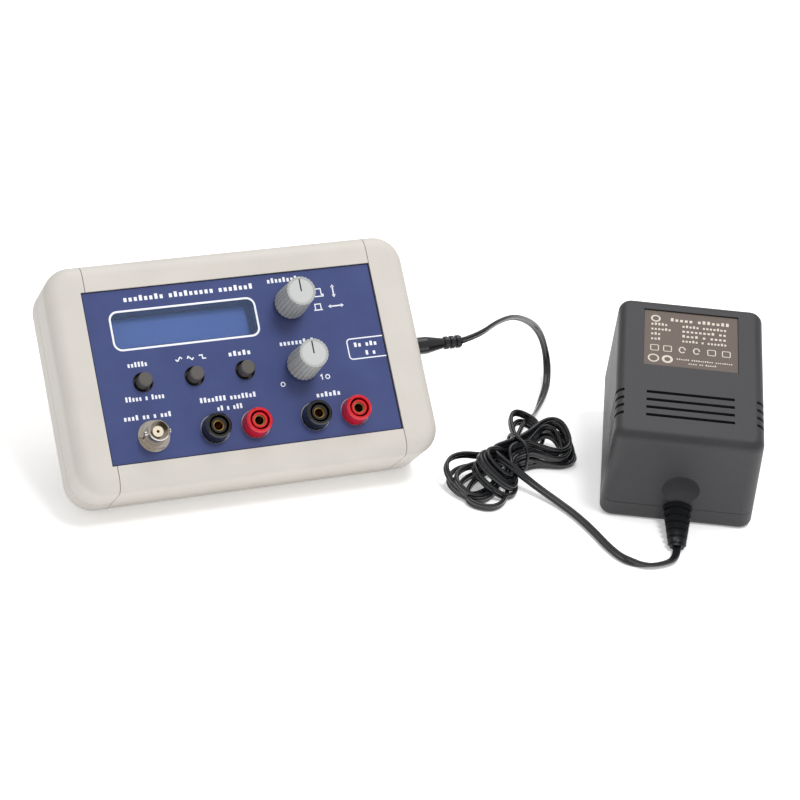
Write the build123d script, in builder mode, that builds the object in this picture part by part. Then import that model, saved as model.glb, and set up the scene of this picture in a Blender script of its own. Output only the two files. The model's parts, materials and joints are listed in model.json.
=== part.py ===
from build123d import *
import os
from math import sin, cos, tan, radians, pi

# Bench function generator, propped on its fold-out stand, with its plug-in adaptor and lead.
# Millimetres, +Z up, the floor at Z = 0. The origin is on the floor, under the middle of the
# generator and its open stand. The case has a frame of its own, which leans back by TILT:
# x runs along the case, y up the slope of the panel, and heights are measured out of the top face.

os.makedirs("parts", exist_ok=True)

# ---------------------------------------------------------------- driving dimensions
TILT = 45.0                                   # panel above the horizontal, stand open
CASE_LENGTH, CASE_DEPTH, CASE_HEIGHT = 170.0, 105.0, 40.0
CORNER_R = 13.0                               # corners of the case in plan
TOP_EDGE_R, BOTTOM_EDGE_R = 6.5, 9.0
WALL = 2.5
SEAM_X = 67.2                                 # joint between middle section and end caps
SEAM_GAP = 0.3
CAP_SEAM = -22.0                              # horizontal joint of the end caps
SHELL_SEAM = -28.0                            # horizontal joint of the middle section

PANEL_X, PANEL_Y = -1.1, -0.9                 # panel centre on the top face
PANEL_LENGTH, PANEL_DEPTH = 136.4, 80.0
RECESS = 1.3                                  # depth of the panel's recess
PANEL_THICK = 0.5
PANEL_FLOOR = -RECESS
PANEL_TOP = PANEL_FLOOR + PANEL_THICK
INNER_TOP = -RECESS - WALL                    # inside face of the top wall
INNER_BOTTOM = -CASE_HEIGHT + WALL

DISPLAY_X, DISPLAY_Y = -24.6, 19.8
DISPLAY_LENGTH, DISPLAY_DEPTH, DISPLAY_R = 66.5, 16.8, 3.2
GLASS_TOP = -7.8                              # face of the display's bezel

KNOB_X, FREQUENCY_Y, AMPLITUDE_Y = 25.6, 23.6, -5.6
KNOB_BASE, KNOB_TOP = 1.0, 19.0
KNOB_SKIRT_R, KNOB_TOP_R = 7.5, 6.7
SHAFT_R, SHAFT_CLEARANCE, SHAFT_TOP = 3.0, 0.05, 11.0
PUSH_TRAVEL = 1.0

BUTTON_XS, BUTTON_Y = (-48.6, -24.9, -1.2), -4.6
BUTTON_R, BUTTON_TOP, BUTTON_HOLE_R = 3.2, 5.0, 4.6

SOCKET_Y = -29.7
SOCKETS = {"black_sockets": (-20.0, 27.2), "red_sockets": (-1.0, 46.2)}
SOCKET_BASE_R, SOCKET_FRONT_R, SOCKET_FRONT = 6.5, 5.6, 6.1
SOCKET_STEM_R = 5.8
CONTACT_BORE_R, CONTACT_R, CONTACT_LENGTH = 2.0, 2.6, 20.0
CONTACT_FRONT = 4.5

BNC_X, BNC_Y = -48.4, -29.6
BNC_R, BNC_FRONT, BNC_NUT_R = 4.8, 10.0, 7.2

BOARD_TOP, BOARD_THICK = -21.5, 1.6
BOARD_X, BOARD_Y, BOARD_LENGTH, BOARD_DEPTH = 3.5, 8.5, 134.0, 59.0
TONGUE_LENGTH, TONGUE_DEPTH, TONGUE_LAP = 10.0, 24.0, 2.0

INLET_Y, INLET_Z = 0.6, -15.0                 # axis of the power inlet in the right end
PLUG_R, PLUG_OUTSIDE, PLUG_RIBS = 4.1, 25.0, 3

STAND_HINGE_Y, STAND_HINGE_Z = 26.0, -37.6
STAND_OPEN = 75.0                             # from folded flat to its stop
STAND_WIDTH, STAND_THICK = 92.0, 3.4
STAND_PIN_R = 1.5
POCKET_X, POCKET_LOW, POCKET_HIGH, POCKET_ROOF = 48.0, -41.0, 30.0, -35.4

LEAD_R = 1.7                                  # round stand-in for the flat twin lead

ADAPTOR_X, ADAPTOR_Y = 181.1, -108.5          # middle of the adaptor's near lower edge
ADAPTOR_YAW, ADAPTOR_TILT = -25.5, 15.5
ADAPTOR_WIDTH, ADAPTOR_LENGTH, ADAPTOR_HEIGHT = 70.0, 94.0, 53.0
ADAPTOR_BASE, ADAPTOR_DRAFT, ADAPTOR_WALL = 10.0, 1.5, 2.5
ADAPTOR_EDGE_R, COVER_EDGE_R, ADAPTOR_CORNER_R = 3.0, 4.5, 6.0
PRONG_R, PRONG_LENGTH, PRONG_PITCH = 2.4, 19.0, 19.0
PRONG_NECK_R, PRONG_NECK, PRONG_CHAMFER = 2.0, 0.5, 0.8
RELIEF_HEIGHT, RELIEF_LENGTH = 10.0, 24.0

# ---------------------------------------------------------------- frames
# The case stands on its rounded lower back edge. The extremes of the case and its stand along Y
# put the origin under their middle.
lean, rise = cos(radians(TILT)), sin(radians(TILT))
edge_y = CASE_DEPTH / 2 - BOTTOM_EDGE_R
edge_z = CASE_HEIGHT - BOTTOM_EDGE_R
case_lift = edge_y * rise + edge_z * lean + BOTTOM_EDGE_R
hinge_lift = case_lift + STAND_HINGE_Y * rise + STAND_HINGE_Z * lean
stand_angle = radians(STAND_OPEN + TILT)
STAND_REACH = hinge_lift / sin(stand_angle)   # hinge axis to the floor along the leg
hinge_back = STAND_HINGE_Y * lean - STAND_HINGE_Z * rise
foot_back = hinge_back - STAND_REACH * cos(stand_angle) + STAND_THICK / 2 / sin(stand_angle)
top_edge_y = CASE_DEPTH / 2 - TOP_EDGE_R
case_front = -top_edge_y * lean + TOP_EDGE_R * rise - TOP_EDGE_R
case_shift = -(foot_back + case_front) / 2

case = Plane(origin=(0, case_shift, case_lift), x_dir=(1, 0, 0), z_dir=(0, -rise, lean))
outward = Axis(case.origin, case.z_dir)
along = Axis(case.origin, case.x_dir)
up_slope = Axis(case.origin, case.y_dir)


def level(height):
    """Plane parallel to the panel at a height above the top face."""
    return case.offset(height)


def spot(x, y, height):
    """Point of the case's frame, in the part's frame."""
    return case.from_local_coords((x, y, height))


def end_plane(x):
    """Plane across the case, facing its right end, with x up the slope and y out of the panel."""
    return Plane(origin=spot(x, 0, 0), x_dir=case.y_dir, z_dir=case.x_dir)


def upright(x, y):
    """Plane through a panel axis, with x along the case and y out of the panel."""
    return Plane(origin=spot(x, y, 0), x_dir=case.x_dir, z_dir=case.y_dir * -1)


def panel_axis(x, y):
    """Axis out of the panel at a place on it."""
    return Axis(spot(x, y, 0), case.z_dir)


def finish(builder, name):
    """Label a finished piece and write it."""
    builder.part.label = name
    export_step(builder.part, f"parts/{name}.step")


def turned(name, places, *profiles):
    """Pieces turned about panel axes, one solid for each list of (radius, height) points."""
    solids = []
    for x, y in places:
        for profile in profiles:
            with BuildPart() as piece:
                with BuildSketch(upright(x, y)) as section:
                    with BuildLine():
                        Polyline(*profile, close=True)
                    make_face()
                revolve(section.sketch, axis=panel_axis(x, y))
            solids += piece.solids()
    group = Compound(label=name, children=solids)
    export_step(group, f"parts/{name}.step")


# ---------------------------------------------------------------- case envelope
with BuildPart() as envelope:
    with BuildSketch(case):
        RectangleRounded(CASE_LENGTH, CASE_DEPTH, CORNER_R)
    extrude(amount=-CASE_HEIGHT)
    fillet(envelope.faces().sort_by(outward)[-1].edges(), TOP_EDGE_R)
    fillet(envelope.faces().sort_by(outward)[0].edges(), BOTTOM_EDGE_R)

with BuildPart() as cavity:
    with BuildSketch(level(INNER_TOP)):
        RectangleRounded(CASE_LENGTH - 2 * WALL, CASE_DEPTH - 2 * WALL, CORNER_R - WALL)
    extrude(amount=INNER_BOTTOM - INNER_TOP)
    fillet(cavity.faces().sort_by(outward)[-1].edges(), TOP_EDGE_R - WALL)
    fillet(cavity.faces().sort_by(outward)[0].edges(), BOTTOM_EDGE_R - WALL)

CASE_SCREW_XY = (60.0, 44.0)
CAP_SCREW_XY = (75.5, 30.0)
SCREW_R, SCREW_HEAD_R, SCREW_HEAD = 1.5, 2.8, 2.0
BOSS_R = 3.6


def corners(xy):
    """The four places that a corner place and its mirror images make."""
    return [(sx * xy[0], sy * xy[1]) for sx in (-1, 1) for sy in (-1, 1)]


def keep_band(x_low, x_high, z_low, z_high):
    """Keep only the stretch of the part between two ends and two heights."""
    with BuildSketch(level(z_high)) as band:
        with Locations(((x_low + x_high) / 2, 0)):
            Rectangle(x_high - x_low, 2 * CASE_DEPTH)
    extrude(band.sketch, amount=z_low - z_high, mode=Mode.INTERSECT)


def cut_panel_recess():
    with BuildSketch(level(PANEL_FLOOR)) as recess:
        with Locations((PANEL_X, PANEL_Y)):
            Rectangle(PANEL_LENGTH, PANEL_DEPTH)
    extrude(recess.sketch, amount=2 * RECESS, mode=Mode.SUBTRACT)


def round_holes(plane, places, radius, depth):
    """Holes of one radius, cut down from a plane."""
    with BuildSketch(plane) as rounds:
        with Locations(*places):
            Circle(radius)
    extrude(rounds.sketch, amount=-depth, mode=Mode.SUBTRACT)


def posts(plane, places, radius, height):
    """Round posts that rise from a plane, or hang from it."""
    with BuildSketch(plane) as rounds:
        with Locations(*places):
            Circle(radius)
    extrude(rounds.sketch, amount=height)


control_places = [(x, BUTTON_Y) for x in BUTTON_XS]
knob_places = [(KNOB_X, FREQUENCY_Y), (KNOB_X, AMPLITUDE_Y)]
socket_places = [(x, SOCKET_Y) for xs in SOCKETS.values() for x in xs]
ABOVE = 5.0                                   # cutters start this far above the panel
THROUGH = ABOVE - INNER_TOP + 1.0

# ---------------------------------------------------------------- middle section
with BuildPart() as upper_shell:
    add(envelope.part)
    add(cavity.part, mode=Mode.SUBTRACT)
    keep_band(-SEAM_X + SEAM_GAP / 2, SEAM_X - SEAM_GAP / 2, SHELL_SEAM + SEAM_GAP / 2, 1)
    cut_panel_recess()
    with BuildSketch(level(ABOVE)):
        with Locations((DISPLAY_X, DISPLAY_Y)):
            RectangleRounded(DISPLAY_LENGTH, DISPLAY_DEPTH, DISPLAY_R)
    extrude(amount=-THROUGH, mode=Mode.SUBTRACT)
    round_holes(level(ABOVE), control_places, BUTTON_HOLE_R, THROUGH)
    round_holes(level(ABOVE), knob_places, SHAFT_R + 0.8, THROUGH)
    round_holes(level(ABOVE), socket_places, SOCKET_STEM_R + 0.1, THROUGH)
    round_holes(level(ABOVE), [(BNC_X, BNC_Y)], BNC_R + 0.1, THROUGH)
    boss_length = INNER_TOP - SHELL_SEAM - SEAM_GAP
    posts(level(INNER_TOP), corners(CASE_SCREW_XY), BOSS_R, -boss_length)
    round_holes(level(INNER_TOP - 4), corners(CASE_SCREW_XY), SCREW_R, boss_length)
finish(upper_shell, "upper_shell")

with BuildPart() as lower_shell:
    add(envelope.part)
    add(cavity.part, mode=Mode.SUBTRACT)
    keep_band(-SEAM_X + SEAM_GAP / 2, SEAM_X - SEAM_GAP / 2, -CASE_HEIGHT - 1, SHELL_SEAM - SEAM_GAP / 2)
    with BuildSketch(level(INNER_BOTTOM - 0.5)):
        with Locations((0, (POCKET_HIGH + POCKET_LOW) / 2)):
            Rectangle(2 * (POCKET_X + WALL), POCKET_HIGH - POCKET_LOW + 2 * WALL)
    extrude(amount=POCKET_ROOF + WALL - INNER_BOTTOM + 0.5)
    with BuildSketch(level(-CASE_HEIGHT - 1)):
        with Locations((0, (POCKET_HIGH + POCKET_LOW) / 2)):
            RectangleRounded(2 * POCKET_X, POCKET_HIGH - POCKET_LOW, 2)
    extrude(amount=POCKET_ROOF + CASE_HEIGHT + 1, mode=Mode.SUBTRACT)
    posts(level(INNER_BOTTOM - 0.5), corners(CASE_SCREW_XY), BOSS_R, SHELL_SEAM - INNER_BOTTOM)
    round_holes(level(SHELL_SEAM), corners(CASE_SCREW_XY), SCREW_R + 0.2, CASE_HEIGHT)
    round_holes(level(-CASE_HEIGHT + SCREW_HEAD + 1), corners(CASE_SCREW_XY), SCREW_HEAD_R + 0.2, 5)
    for side in (-1, 1):
        with BuildSketch(end_plane(side * POCKET_X)):
            with Locations((STAND_HINGE_Y, STAND_HINGE_Z)):
                Circle(STAND_PIN_R)
        extrude(amount=side * (WALL + 1), mode=Mode.SUBTRACT)
finish(lower_shell, "lower_shell")

# ---------------------------------------------------------------- end caps
INLET_HOLE_R = PLUG_R + 0.8


def end_cap(side, upper):
    """One half of an end cap: side is -1 for the left end and 1 for the right."""
    x_ends = sorted((side * (SEAM_X + SEAM_GAP / 2), side * CASE_LENGTH))
    with BuildPart() as cap:
        add(envelope.part)
        add(cavity.part, mode=Mode.SUBTRACT)
        if upper:
            keep_band(*x_ends, CAP_SEAM + SEAM_GAP / 2, 1)
            cut_panel_recess()
        else:
            keep_band(*x_ends, -CASE_HEIGHT - 1, CAP_SEAM - SEAM_GAP / 2)
        places = [(side * CAP_SCREW_XY[0], y) for y in (-CAP_SCREW_XY[1], CAP_SCREW_XY[1])]
        if upper:
            length = INNER_TOP - CAP_SEAM - SEAM_GAP
            posts(level(INNER_TOP + 0.5), places, BOSS_R, -length - 0.5)
            round_holes(level(INNER_TOP - 4), places, SCREW_R, length)
        else:
            posts(level(INNER_BOTTOM - 0.5), places, BOSS_R, CAP_SEAM - INNER_BOTTOM)
            round_holes(level(CAP_SEAM), places, SCREW_R + 0.2, CASE_HEIGHT)
            round_holes(level(-CASE_HEIGHT + SCREW_HEAD + 1), places, SCREW_HEAD_R + 0.2, 5)
        if upper and side > 0:
            with BuildSketch(end_plane(CASE_LENGTH / 2 - 2 * WALL)):
                with Locations((INLET_Y, INLET_Z)):
                    Circle(INLET_HOLE_R)
            extrude(amount=3 * WALL, mode=Mode.SUBTRACT)
    return cap


for cap_side, side_name in ((-1, "left"), (1, "right")):
    for is_upper, half_name in ((True, "upper"), (False, "lower")):
        finish(end_cap(cap_side, is_upper), f"{side_name}_end_cap_{half_name}")

# ---------------------------------------------------------------- case screws and feet
SCREW_LENGTH = 16.0
with BuildPart() as case_screws:
    screw_places = corners(CASE_SCREW_XY) + corners(CAP_SCREW_XY)
    head_floor = level(-CASE_HEIGHT + SCREW_HEAD + 1)
    posts(head_floor, screw_places, SCREW_HEAD_R, -SCREW_HEAD)
    posts(head_floor, screw_places, SCREW_R - 0.1, SCREW_LENGTH)
    round_holes(level(-CASE_HEIGHT + 2), screw_places, 1.1, 1.2)
finish(case_screws, "case_screws")

FOOT_R, FOOT_THICK = 4.5, 2.2
with BuildPart() as rubber_feet:
    posts(level(-CASE_HEIGHT), corners((57.0, 27.0)), FOOT_R, -FOOT_THICK)
    foot_rims = rubber_feet.faces().group_by(outward)[0].edges()
    fillet(foot_rims, 0.8)
finish(rubber_feet, "rubber_feet")

# ---------------------------------------------------------------- fold-out stand
stand_dir = Vector(0, -cos(stand_angle), -sin(stand_angle))
stand = Plane(
    origin=spot(0, STAND_HINGE_Y, STAND_HINGE_Z),
    x_dir=(1, 0, 0),
    z_dir=Vector(1, 0, 0).cross(stand_dir),
)
STAND_BARREL_R, STAND_RIM = 2.1, 0.7
STAND_PAD = 14.0

with BuildPart() as tilt_stand:
    with BuildSketch(stand.offset(-STAND_THICK / 2)):
        with Locations((0, STAND_REACH / 2)):
            Rectangle(STAND_WIDTH, STAND_REACH + 2 * STAND_THICK)
        with Locations((0, -STAND_THICK)):
            Rectangle(STAND_WIDTH, 2 * STAND_THICK, mode=Mode.SUBTRACT)
    extrude(amount=STAND_THICK)
    with BuildSketch(Plane.XY.offset(-4 * STAND_THICK)):
        Rectangle(2 * STAND_WIDTH, 6 * STAND_REACH)
    extrude(amount=4 * STAND_THICK, mode=Mode.SUBTRACT)
    with BuildSketch(Plane(origin=spot(-STAND_WIDTH / 2, STAND_HINGE_Y, STAND_HINGE_Z), z_dir=(1, 0, 0))):
        Circle(STAND_BARREL_R)
    extrude(amount=STAND_WIDTH)
    for face_side in (-1, 1):
        with BuildSketch(stand.offset(face_side * (STAND_THICK / 2 - STAND_RIM))):
            with Locations((0, STAND_REACH / 2 - 1)):
                RectangleRounded(STAND_WIDTH - 2 * STAND_PAD, STAND_REACH - 2 * STAND_PAD, 5)
        extrude(amount=face_side * STAND_THICK, mode=Mode.SUBTRACT)
    with BuildSketch(Plane(origin=spot(-STAND_WIDTH / 2 - 1, STAND_HINGE_Y, STAND_HINGE_Z), z_dir=(1, 0, 0))):
        Circle(STAND_PIN_R + SHAFT_CLEARANCE)
    extrude(amount=STAND_WIDTH + 2, mode=Mode.SUBTRACT)
finish(tilt_stand, "tilt_stand")

STAND_PIN_LENGTH = 9.0
with BuildPart() as stand_pins:
    for side in (-1, 1):
        with BuildSketch(end_plane(side * (POCKET_X + WALL))):
            with Locations((STAND_HINGE_Y, STAND_HINGE_Z)):
                Circle(STAND_PIN_R)
        extrude(amount=-side * STAND_PIN_LENGTH)
finish(stand_pins, "stand_pins")

# ---------------------------------------------------------------- panel and display
with BuildPart() as front_panel:
    with BuildSketch(level(PANEL_FLOOR)):
        with Locations((PANEL_X, PANEL_Y)):
            Rectangle(PANEL_LENGTH - 0.2, PANEL_DEPTH - 0.2)
        with Locations((DISPLAY_X, DISPLAY_Y)):
            RectangleRounded(DISPLAY_LENGTH, DISPLAY_DEPTH, DISPLAY_R, mode=Mode.SUBTRACT)
        with Locations(*control_places):
            Circle(BUTTON_HOLE_R, mode=Mode.SUBTRACT)
        with Locations(*knob_places):
            Circle(SHAFT_R + 0.8, mode=Mode.SUBTRACT)
        with Locations(*socket_places):
            Circle(SOCKET_BASE_R + 0.3, mode=Mode.SUBTRACT)
        with Locations((BNC_X, BNC_Y)):
            Circle(BNC_R + 0.1, mode=Mode.SUBTRACT)
    extrude(amount=PANEL_THICK)
finish(front_panel, "front_panel")

with BuildPart() as display_window:
    with BuildSketch(level(PANEL_FLOOR)):
        with Locations((DISPLAY_X, DISPLAY_Y)):
            RectangleRounded(DISPLAY_LENGTH - 0.1, DISPLAY_DEPTH - 0.1, DISPLAY_R)
    extrude(amount=PANEL_THICK)
finish(display_window, "display_window")

BEZEL_LENGTH, BEZEL_DEPTH, BEZEL_THICK = 71.2, 24.2, 5.0
VIEW_LENGTH, VIEW_DEPTH, VIEW_R = 62.8, 14.6, 1.2
with BuildPart() as lcd_bezel:
    with BuildSketch(level(GLASS_TOP)):
        with Locations((DISPLAY_X, DISPLAY_Y)):
            RectangleRounded(BEZEL_LENGTH, BEZEL_DEPTH, 1)
            RectangleRounded(VIEW_LENGTH, VIEW_DEPTH, VIEW_R, mode=Mode.SUBTRACT)
    extrude(amount=-0.6)
    with BuildSketch(level(GLASS_TOP - 0.6)):
        with Locations((DISPLAY_X, DISPLAY_Y)):
            RectangleRounded(BEZEL_LENGTH, BEZEL_DEPTH, 1)
            Rectangle(BEZEL_LENGTH - 1.2, BEZEL_DEPTH - 1.2, mode=Mode.SUBTRACT)
    extrude(amount=-(BEZEL_THICK - 0.6))
finish(lcd_bezel, "lcd_bezel")

with BuildPart() as lcd_glass:
    with BuildSketch(level(GLASS_TOP - 0.6)):
        with Locations((DISPLAY_X, DISPLAY_Y)):
            Rectangle(BEZEL_LENGTH - 1.6, BEZEL_DEPTH - 1.6)
    extrude(amount=-2.2)
finish(lcd_glass, "lcd_glass")

LCD_BOARD_TOP = GLASS_TOP - BEZEL_THICK
LCD_HOLE_XY = (37.5, 15.5)
lcd_screw_places = [(DISPLAY_X + x, DISPLAY_Y + y) for x, y in corners(LCD_HOLE_XY)]
with BuildPart() as lcd_board:
    with BuildSketch(level(LCD_BOARD_TOP)):
        with Locations((DISPLAY_X, DISPLAY_Y)):
            Rectangle(80, 36)
        with Locations(*lcd_screw_places):
            Circle(1.25, mode=Mode.SUBTRACT)
    extrude(amount=-BOARD_THICK)
finish(lcd_board, "lcd_board")

# ---------------------------------------------------------------- main board
board_screw_places = [(-58.0, -16.0), (63.5, -16.0), (64.2, 35.6)]
with BuildPart() as main_board:
    with BuildSketch(level(BOARD_TOP)):
        with Locations((BOARD_X, BOARD_Y)):
            RectangleRounded(BOARD_LENGTH, BOARD_DEPTH, 2)
        with Locations((BOARD_X + BOARD_LENGTH / 2 + TONGUE_LENGTH / 2 - TONGUE_LAP, INLET_Y)):
            Rectangle(TONGUE_LENGTH, TONGUE_DEPTH)
        with Locations(*board_screw_places):
            Circle(1.6, mode=Mode.SUBTRACT)
    extrude(amount=-BOARD_THICK)
finish(main_board, "main_board")

with BuildPart() as board_spacers:
    spacer_top = LCD_BOARD_TOP - BOARD_THICK
    pillar_top = BOARD_TOP - BOARD_THICK
    posts(level(spacer_top), lcd_screw_places, 2.4, BOARD_TOP - spacer_top)
    posts(level(pillar_top), board_screw_places, 2.8, INNER_BOTTOM - pillar_top)
finish(board_spacers, "board_spacers")

with BuildPart() as board_screws:
    posts(level(BOARD_TOP), board_screw_places, 2.6, 1.8)
    posts(level(BOARD_TOP), board_screw_places, 1.4, -BOARD_THICK)
finish(board_screws, "board_screws")

with BuildPart() as board_components:
    chip_sizes = [(-40.0, -14.0, 14.0, 8.0), (5.0, 12.0, 10.0, 10.0), (46.0, -6.0, 10.0, 6.0)]
    for chip_x, chip_y, chip_length, chip_depth in chip_sizes:
        with BuildSketch(level(BOARD_TOP)):
            with Locations((chip_x, chip_y)):
                Rectangle(chip_length, chip_depth)
        extrude(amount=2.0)
    with BuildSketch(level(BOARD_TOP)):
        with Locations((DISPLAY_X, DISPLAY_Y - 10.0)):
            Rectangle(40.6, 2.5)
    extrude(amount=LCD_BOARD_TOP - BOARD_THICK - BOARD_TOP)
finish(board_components, "board_components")

with BuildPart() as filter_capacitors:
    posts(level(BOARD_TOP), [(44.0, 8.0), (56.0, 8.0)], 5.0, 12.5)
    fillet(filter_capacitors.faces().group_by(outward)[-1].edges(), 0.8)
finish(filter_capacitors, "filter_capacitors")

HEAT_SINK_X, HEAT_SINK_Y, FINS = 52.0, 30.0, 7
with BuildPart() as heat_sink:
    with BuildSketch(level(BOARD_TOP)):
        with Locations((HEAT_SINK_X, HEAT_SINK_Y)):
            Rectangle(25, 2.5)
        with Locations((HEAT_SINK_X, HEAT_SINK_Y - 4)):
            with GridLocations(4.0, 1, FINS, 1):
                Rectangle(1.0, 6.0)
    extrude(amount=14)
finish(heat_sink, "heat_sink")

with BuildPart() as amplifier:
    with BuildSketch(level(BOARD_TOP + 1.0)):
        with Locations((HEAT_SINK_X, HEAT_SINK_Y + 1.25 + 2.2)):
            Rectangle(19, 4.4)
    extrude(amount=11)
finish(amplifier, "amplifier")

# ---------------------------------------------------------------- buttons
CAP_FOOT = BOARD_TOP + 2.0                    # the stem ends inside its key switch
CAP_FLANGE, FLANGE_R = -4.3, 5.4
for number, button_x in enumerate(BUTTON_XS, start=1):
    with BuildPart() as button:
        with BuildSketch(upright(button_x, BUTTON_Y)):
            with BuildLine():
                Polyline(
                    (0, BUTTON_TOP), (BUTTON_R - 0.5, BUTTON_TOP), (BUTTON_R, BUTTON_TOP - 0.5),
                    (BUTTON_R, CAP_FLANGE), (FLANGE_R, CAP_FLANGE), (FLANGE_R, CAP_FLANGE - 1.2),
                    (1.8, CAP_FLANGE - 1.2), (1.8, CAP_FOOT), (0, CAP_FOOT), close=True,
                )
            make_face()
        revolve(axis=panel_axis(button_x, BUTTON_Y))
    finish(button, f"button_{number}")

with BuildPart() as key_switches:
    with BuildSketch(level(BOARD_TOP)):
        with Locations(*control_places):
            Rectangle(8, 8)
    extrude(amount=5.0)
    round_holes(level(BOARD_TOP + 5.0), control_places, 2.1, 4.4)
finish(key_switches, "key_switches")

# ---------------------------------------------------------------- knobs and what they turn
FLUTES, FLUTE_R = 24, 0.3


def knob(name, y):
    """Fluted, tapered knob with a D-shaped bore, and the flat disc set in its top."""
    with BuildPart() as body:
        with BuildSketch(level(KNOB_BASE)):
            with Locations((KNOB_X, y)):
                Circle(KNOB_SKIRT_R)
        with BuildSketch(level(KNOB_TOP)):
            with Locations((KNOB_X, y)):
                Circle(KNOB_TOP_R)
        loft()
        for turn in range(FLUTES):
            angle = radians(360 / FLUTES * (turn + 0.5))
            foot = spot(KNOB_X + KNOB_SKIRT_R * cos(angle), y + KNOB_SKIRT_R * sin(angle), KNOB_BASE - 1)
            head = spot(KNOB_X + KNOB_TOP_R * cos(angle), y + KNOB_TOP_R * sin(angle), KNOB_TOP + 1)
            with BuildSketch(Plane(origin=foot, z_dir=head - foot)):
                Circle(FLUTE_R)
            extrude(amount=(head - foot).length, mode=Mode.SUBTRACT)
        with BuildSketch(level(KNOB_TOP - 0.6)):
            with Locations((KNOB_X, y)):
                Circle(KNOB_TOP_R - 1.0)
        extrude(amount=1, mode=Mode.SUBTRACT)
        with BuildSketch(level(KNOB_BASE)):
            with Locations((KNOB_X, y)):
                Circle(SHAFT_R)
        extrude(amount=SHAFT_TOP - KNOB_BASE, mode=Mode.SUBTRACT)
        with BuildSketch(level(KNOB_BASE)):
            with Locations((KNOB_X, y)):
                Circle(KNOB_SKIRT_R - 1.6)
                Circle(SHAFT_R + 1.4, mode=Mode.SUBTRACT)
        extrude(amount=8, mode=Mode.SUBTRACT)
    finish(body, f"{name}_knob")
    with BuildPart() as disc:
        with BuildSketch(level(KNOB_TOP - 0.6)):
            with Locations((KNOB_X, y)):
                Circle(KNOB_TOP_R - 1.05)
        extrude(amount=0.5)
    finish(disc, f"{name}_knob_disc")


knob("frequency", FREQUENCY_Y)
knob("amplitude", AMPLITUDE_Y)

# Each control sits on the board: a body with a long bush, and the shaft that runs in it.
BODY_TOP, BUSH_TOP, BUSH_R = -14.5, -5.0, 4.5
CHAMBER_TOP, CHAMBER_FLOOR = -17.0, -21.0
with BuildPart() as encoder_body:
    with BuildSketch(level(BOARD_TOP)):
        with Locations((KNOB_X, FREQUENCY_Y)):
            Rectangle(12.5, 12.5)
    extrude(amount=BODY_TOP - BOARD_TOP)
    posts(level(BODY_TOP), [(KNOB_X, FREQUENCY_Y)], BUSH_R, BUSH_TOP - BODY_TOP)
    round_holes(level(BUSH_TOP), [(KNOB_X, FREQUENCY_Y)], SHAFT_R + SHAFT_CLEARANCE, BUSH_TOP - CHAMBER_TOP)
    round_holes(level(CHAMBER_TOP), [(KNOB_X, FREQUENCY_Y)], 4.6, CHAMBER_TOP - CHAMBER_FLOOR)
finish(encoder_body, "encoder_body")

PLUNGER_TOP, PLUNGER_THICK = CHAMBER_TOP - 1.2, 1.4
turned("encoder_plunger", knob_places[:1], [
    (0, PLUNGER_TOP), (4.0, PLUNGER_TOP), (4.0, PLUNGER_TOP - PLUNGER_THICK), (0, PLUNGER_TOP - PLUNGER_THICK),
])
turned("encoder_shaft", knob_places[:1], [
    (0, SHAFT_TOP), (SHAFT_R, SHAFT_TOP), (SHAFT_R, PLUNGER_TOP + 0.5), (2.5, PLUNGER_TOP), (0, PLUNGER_TOP),
])

POT_R = 8.5
with BuildPart() as potentiometer_body:
    posts(level(BOARD_TOP), [(KNOB_X, AMPLITUDE_Y)], POT_R, BODY_TOP - BOARD_TOP)
    posts(level(BODY_TOP), [(KNOB_X, AMPLITUDE_Y)], BUSH_R, BUSH_TOP - BODY_TOP)
    round_holes(level(BUSH_TOP), [(KNOB_X, AMPLITUDE_Y)], SHAFT_R + SHAFT_CLEARANCE, BUSH_TOP - CHAMBER_TOP)
    round_holes(level(CHAMBER_TOP), [(KNOB_X, AMPLITUDE_Y)], 7.0, CHAMBER_TOP - CHAMBER_FLOOR)
finish(potentiometer_body, "potentiometer_body")

turned("potentiometer_shaft", knob_places[1:], [
    (0, SHAFT_TOP), (SHAFT_R, SHAFT_TOP), (SHAFT_R, CHAMBER_TOP - 0.6), (6.4, CHAMBER_TOP - 0.6),
    (6.4, CHAMBER_TOP - 2.0), (0, CHAMBER_TOP - 2.0),
])

# ---------------------------------------------------------------- 4 mm safety sockets
# Each has a housing and an inner sleeve, with a groove between them for the plug's shroud.
SLEEVE_R, GROOVE_R, GROOVE_FLOOR = 3.5, 4.5, -12.0
STEM_END = -16.0
SLEEVE_FRONT = SOCKET_FRONT - 0.6
housing_profile = [
    (SLEEVE_R, STEM_END), (SOCKET_STEM_R, STEM_END), (SOCKET_STEM_R, PANEL_FLOOR),
    (SOCKET_BASE_R, PANEL_FLOOR), (SOCKET_FRONT_R + 0.3, SOCKET_FRONT - 0.6),
    (SOCKET_FRONT_R - 0.3, SOCKET_FRONT), (GROOVE_R, SOCKET_FRONT), (GROOVE_R, GROOVE_FLOOR),
    (SLEEVE_R, GROOVE_FLOOR),
]
sleeve_profile = [
    (CONTACT_R, STEM_END), (SLEEVE_R, STEM_END), (SLEEVE_R, SLEEVE_FRONT), (CONTACT_R, SLEEVE_FRONT),
]
for socket_name, socket_xs in SOCKETS.items():
    turned(socket_name, [(x, SOCKET_Y) for x in socket_xs], housing_profile, sleeve_profile)

with BuildPart() as socket_contacts:
    posts(level(CONTACT_FRONT), socket_places, CONTACT_R, -CONTACT_LENGTH - 2)
    posts(level(CONTACT_FRONT - CONTACT_LENGTH - 1), socket_places, 1.2, -6)
    round_holes(level(CONTACT_FRONT), socket_places, CONTACT_BORE_R, CONTACT_LENGTH)
finish(socket_contacts, "socket_contacts")

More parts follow.
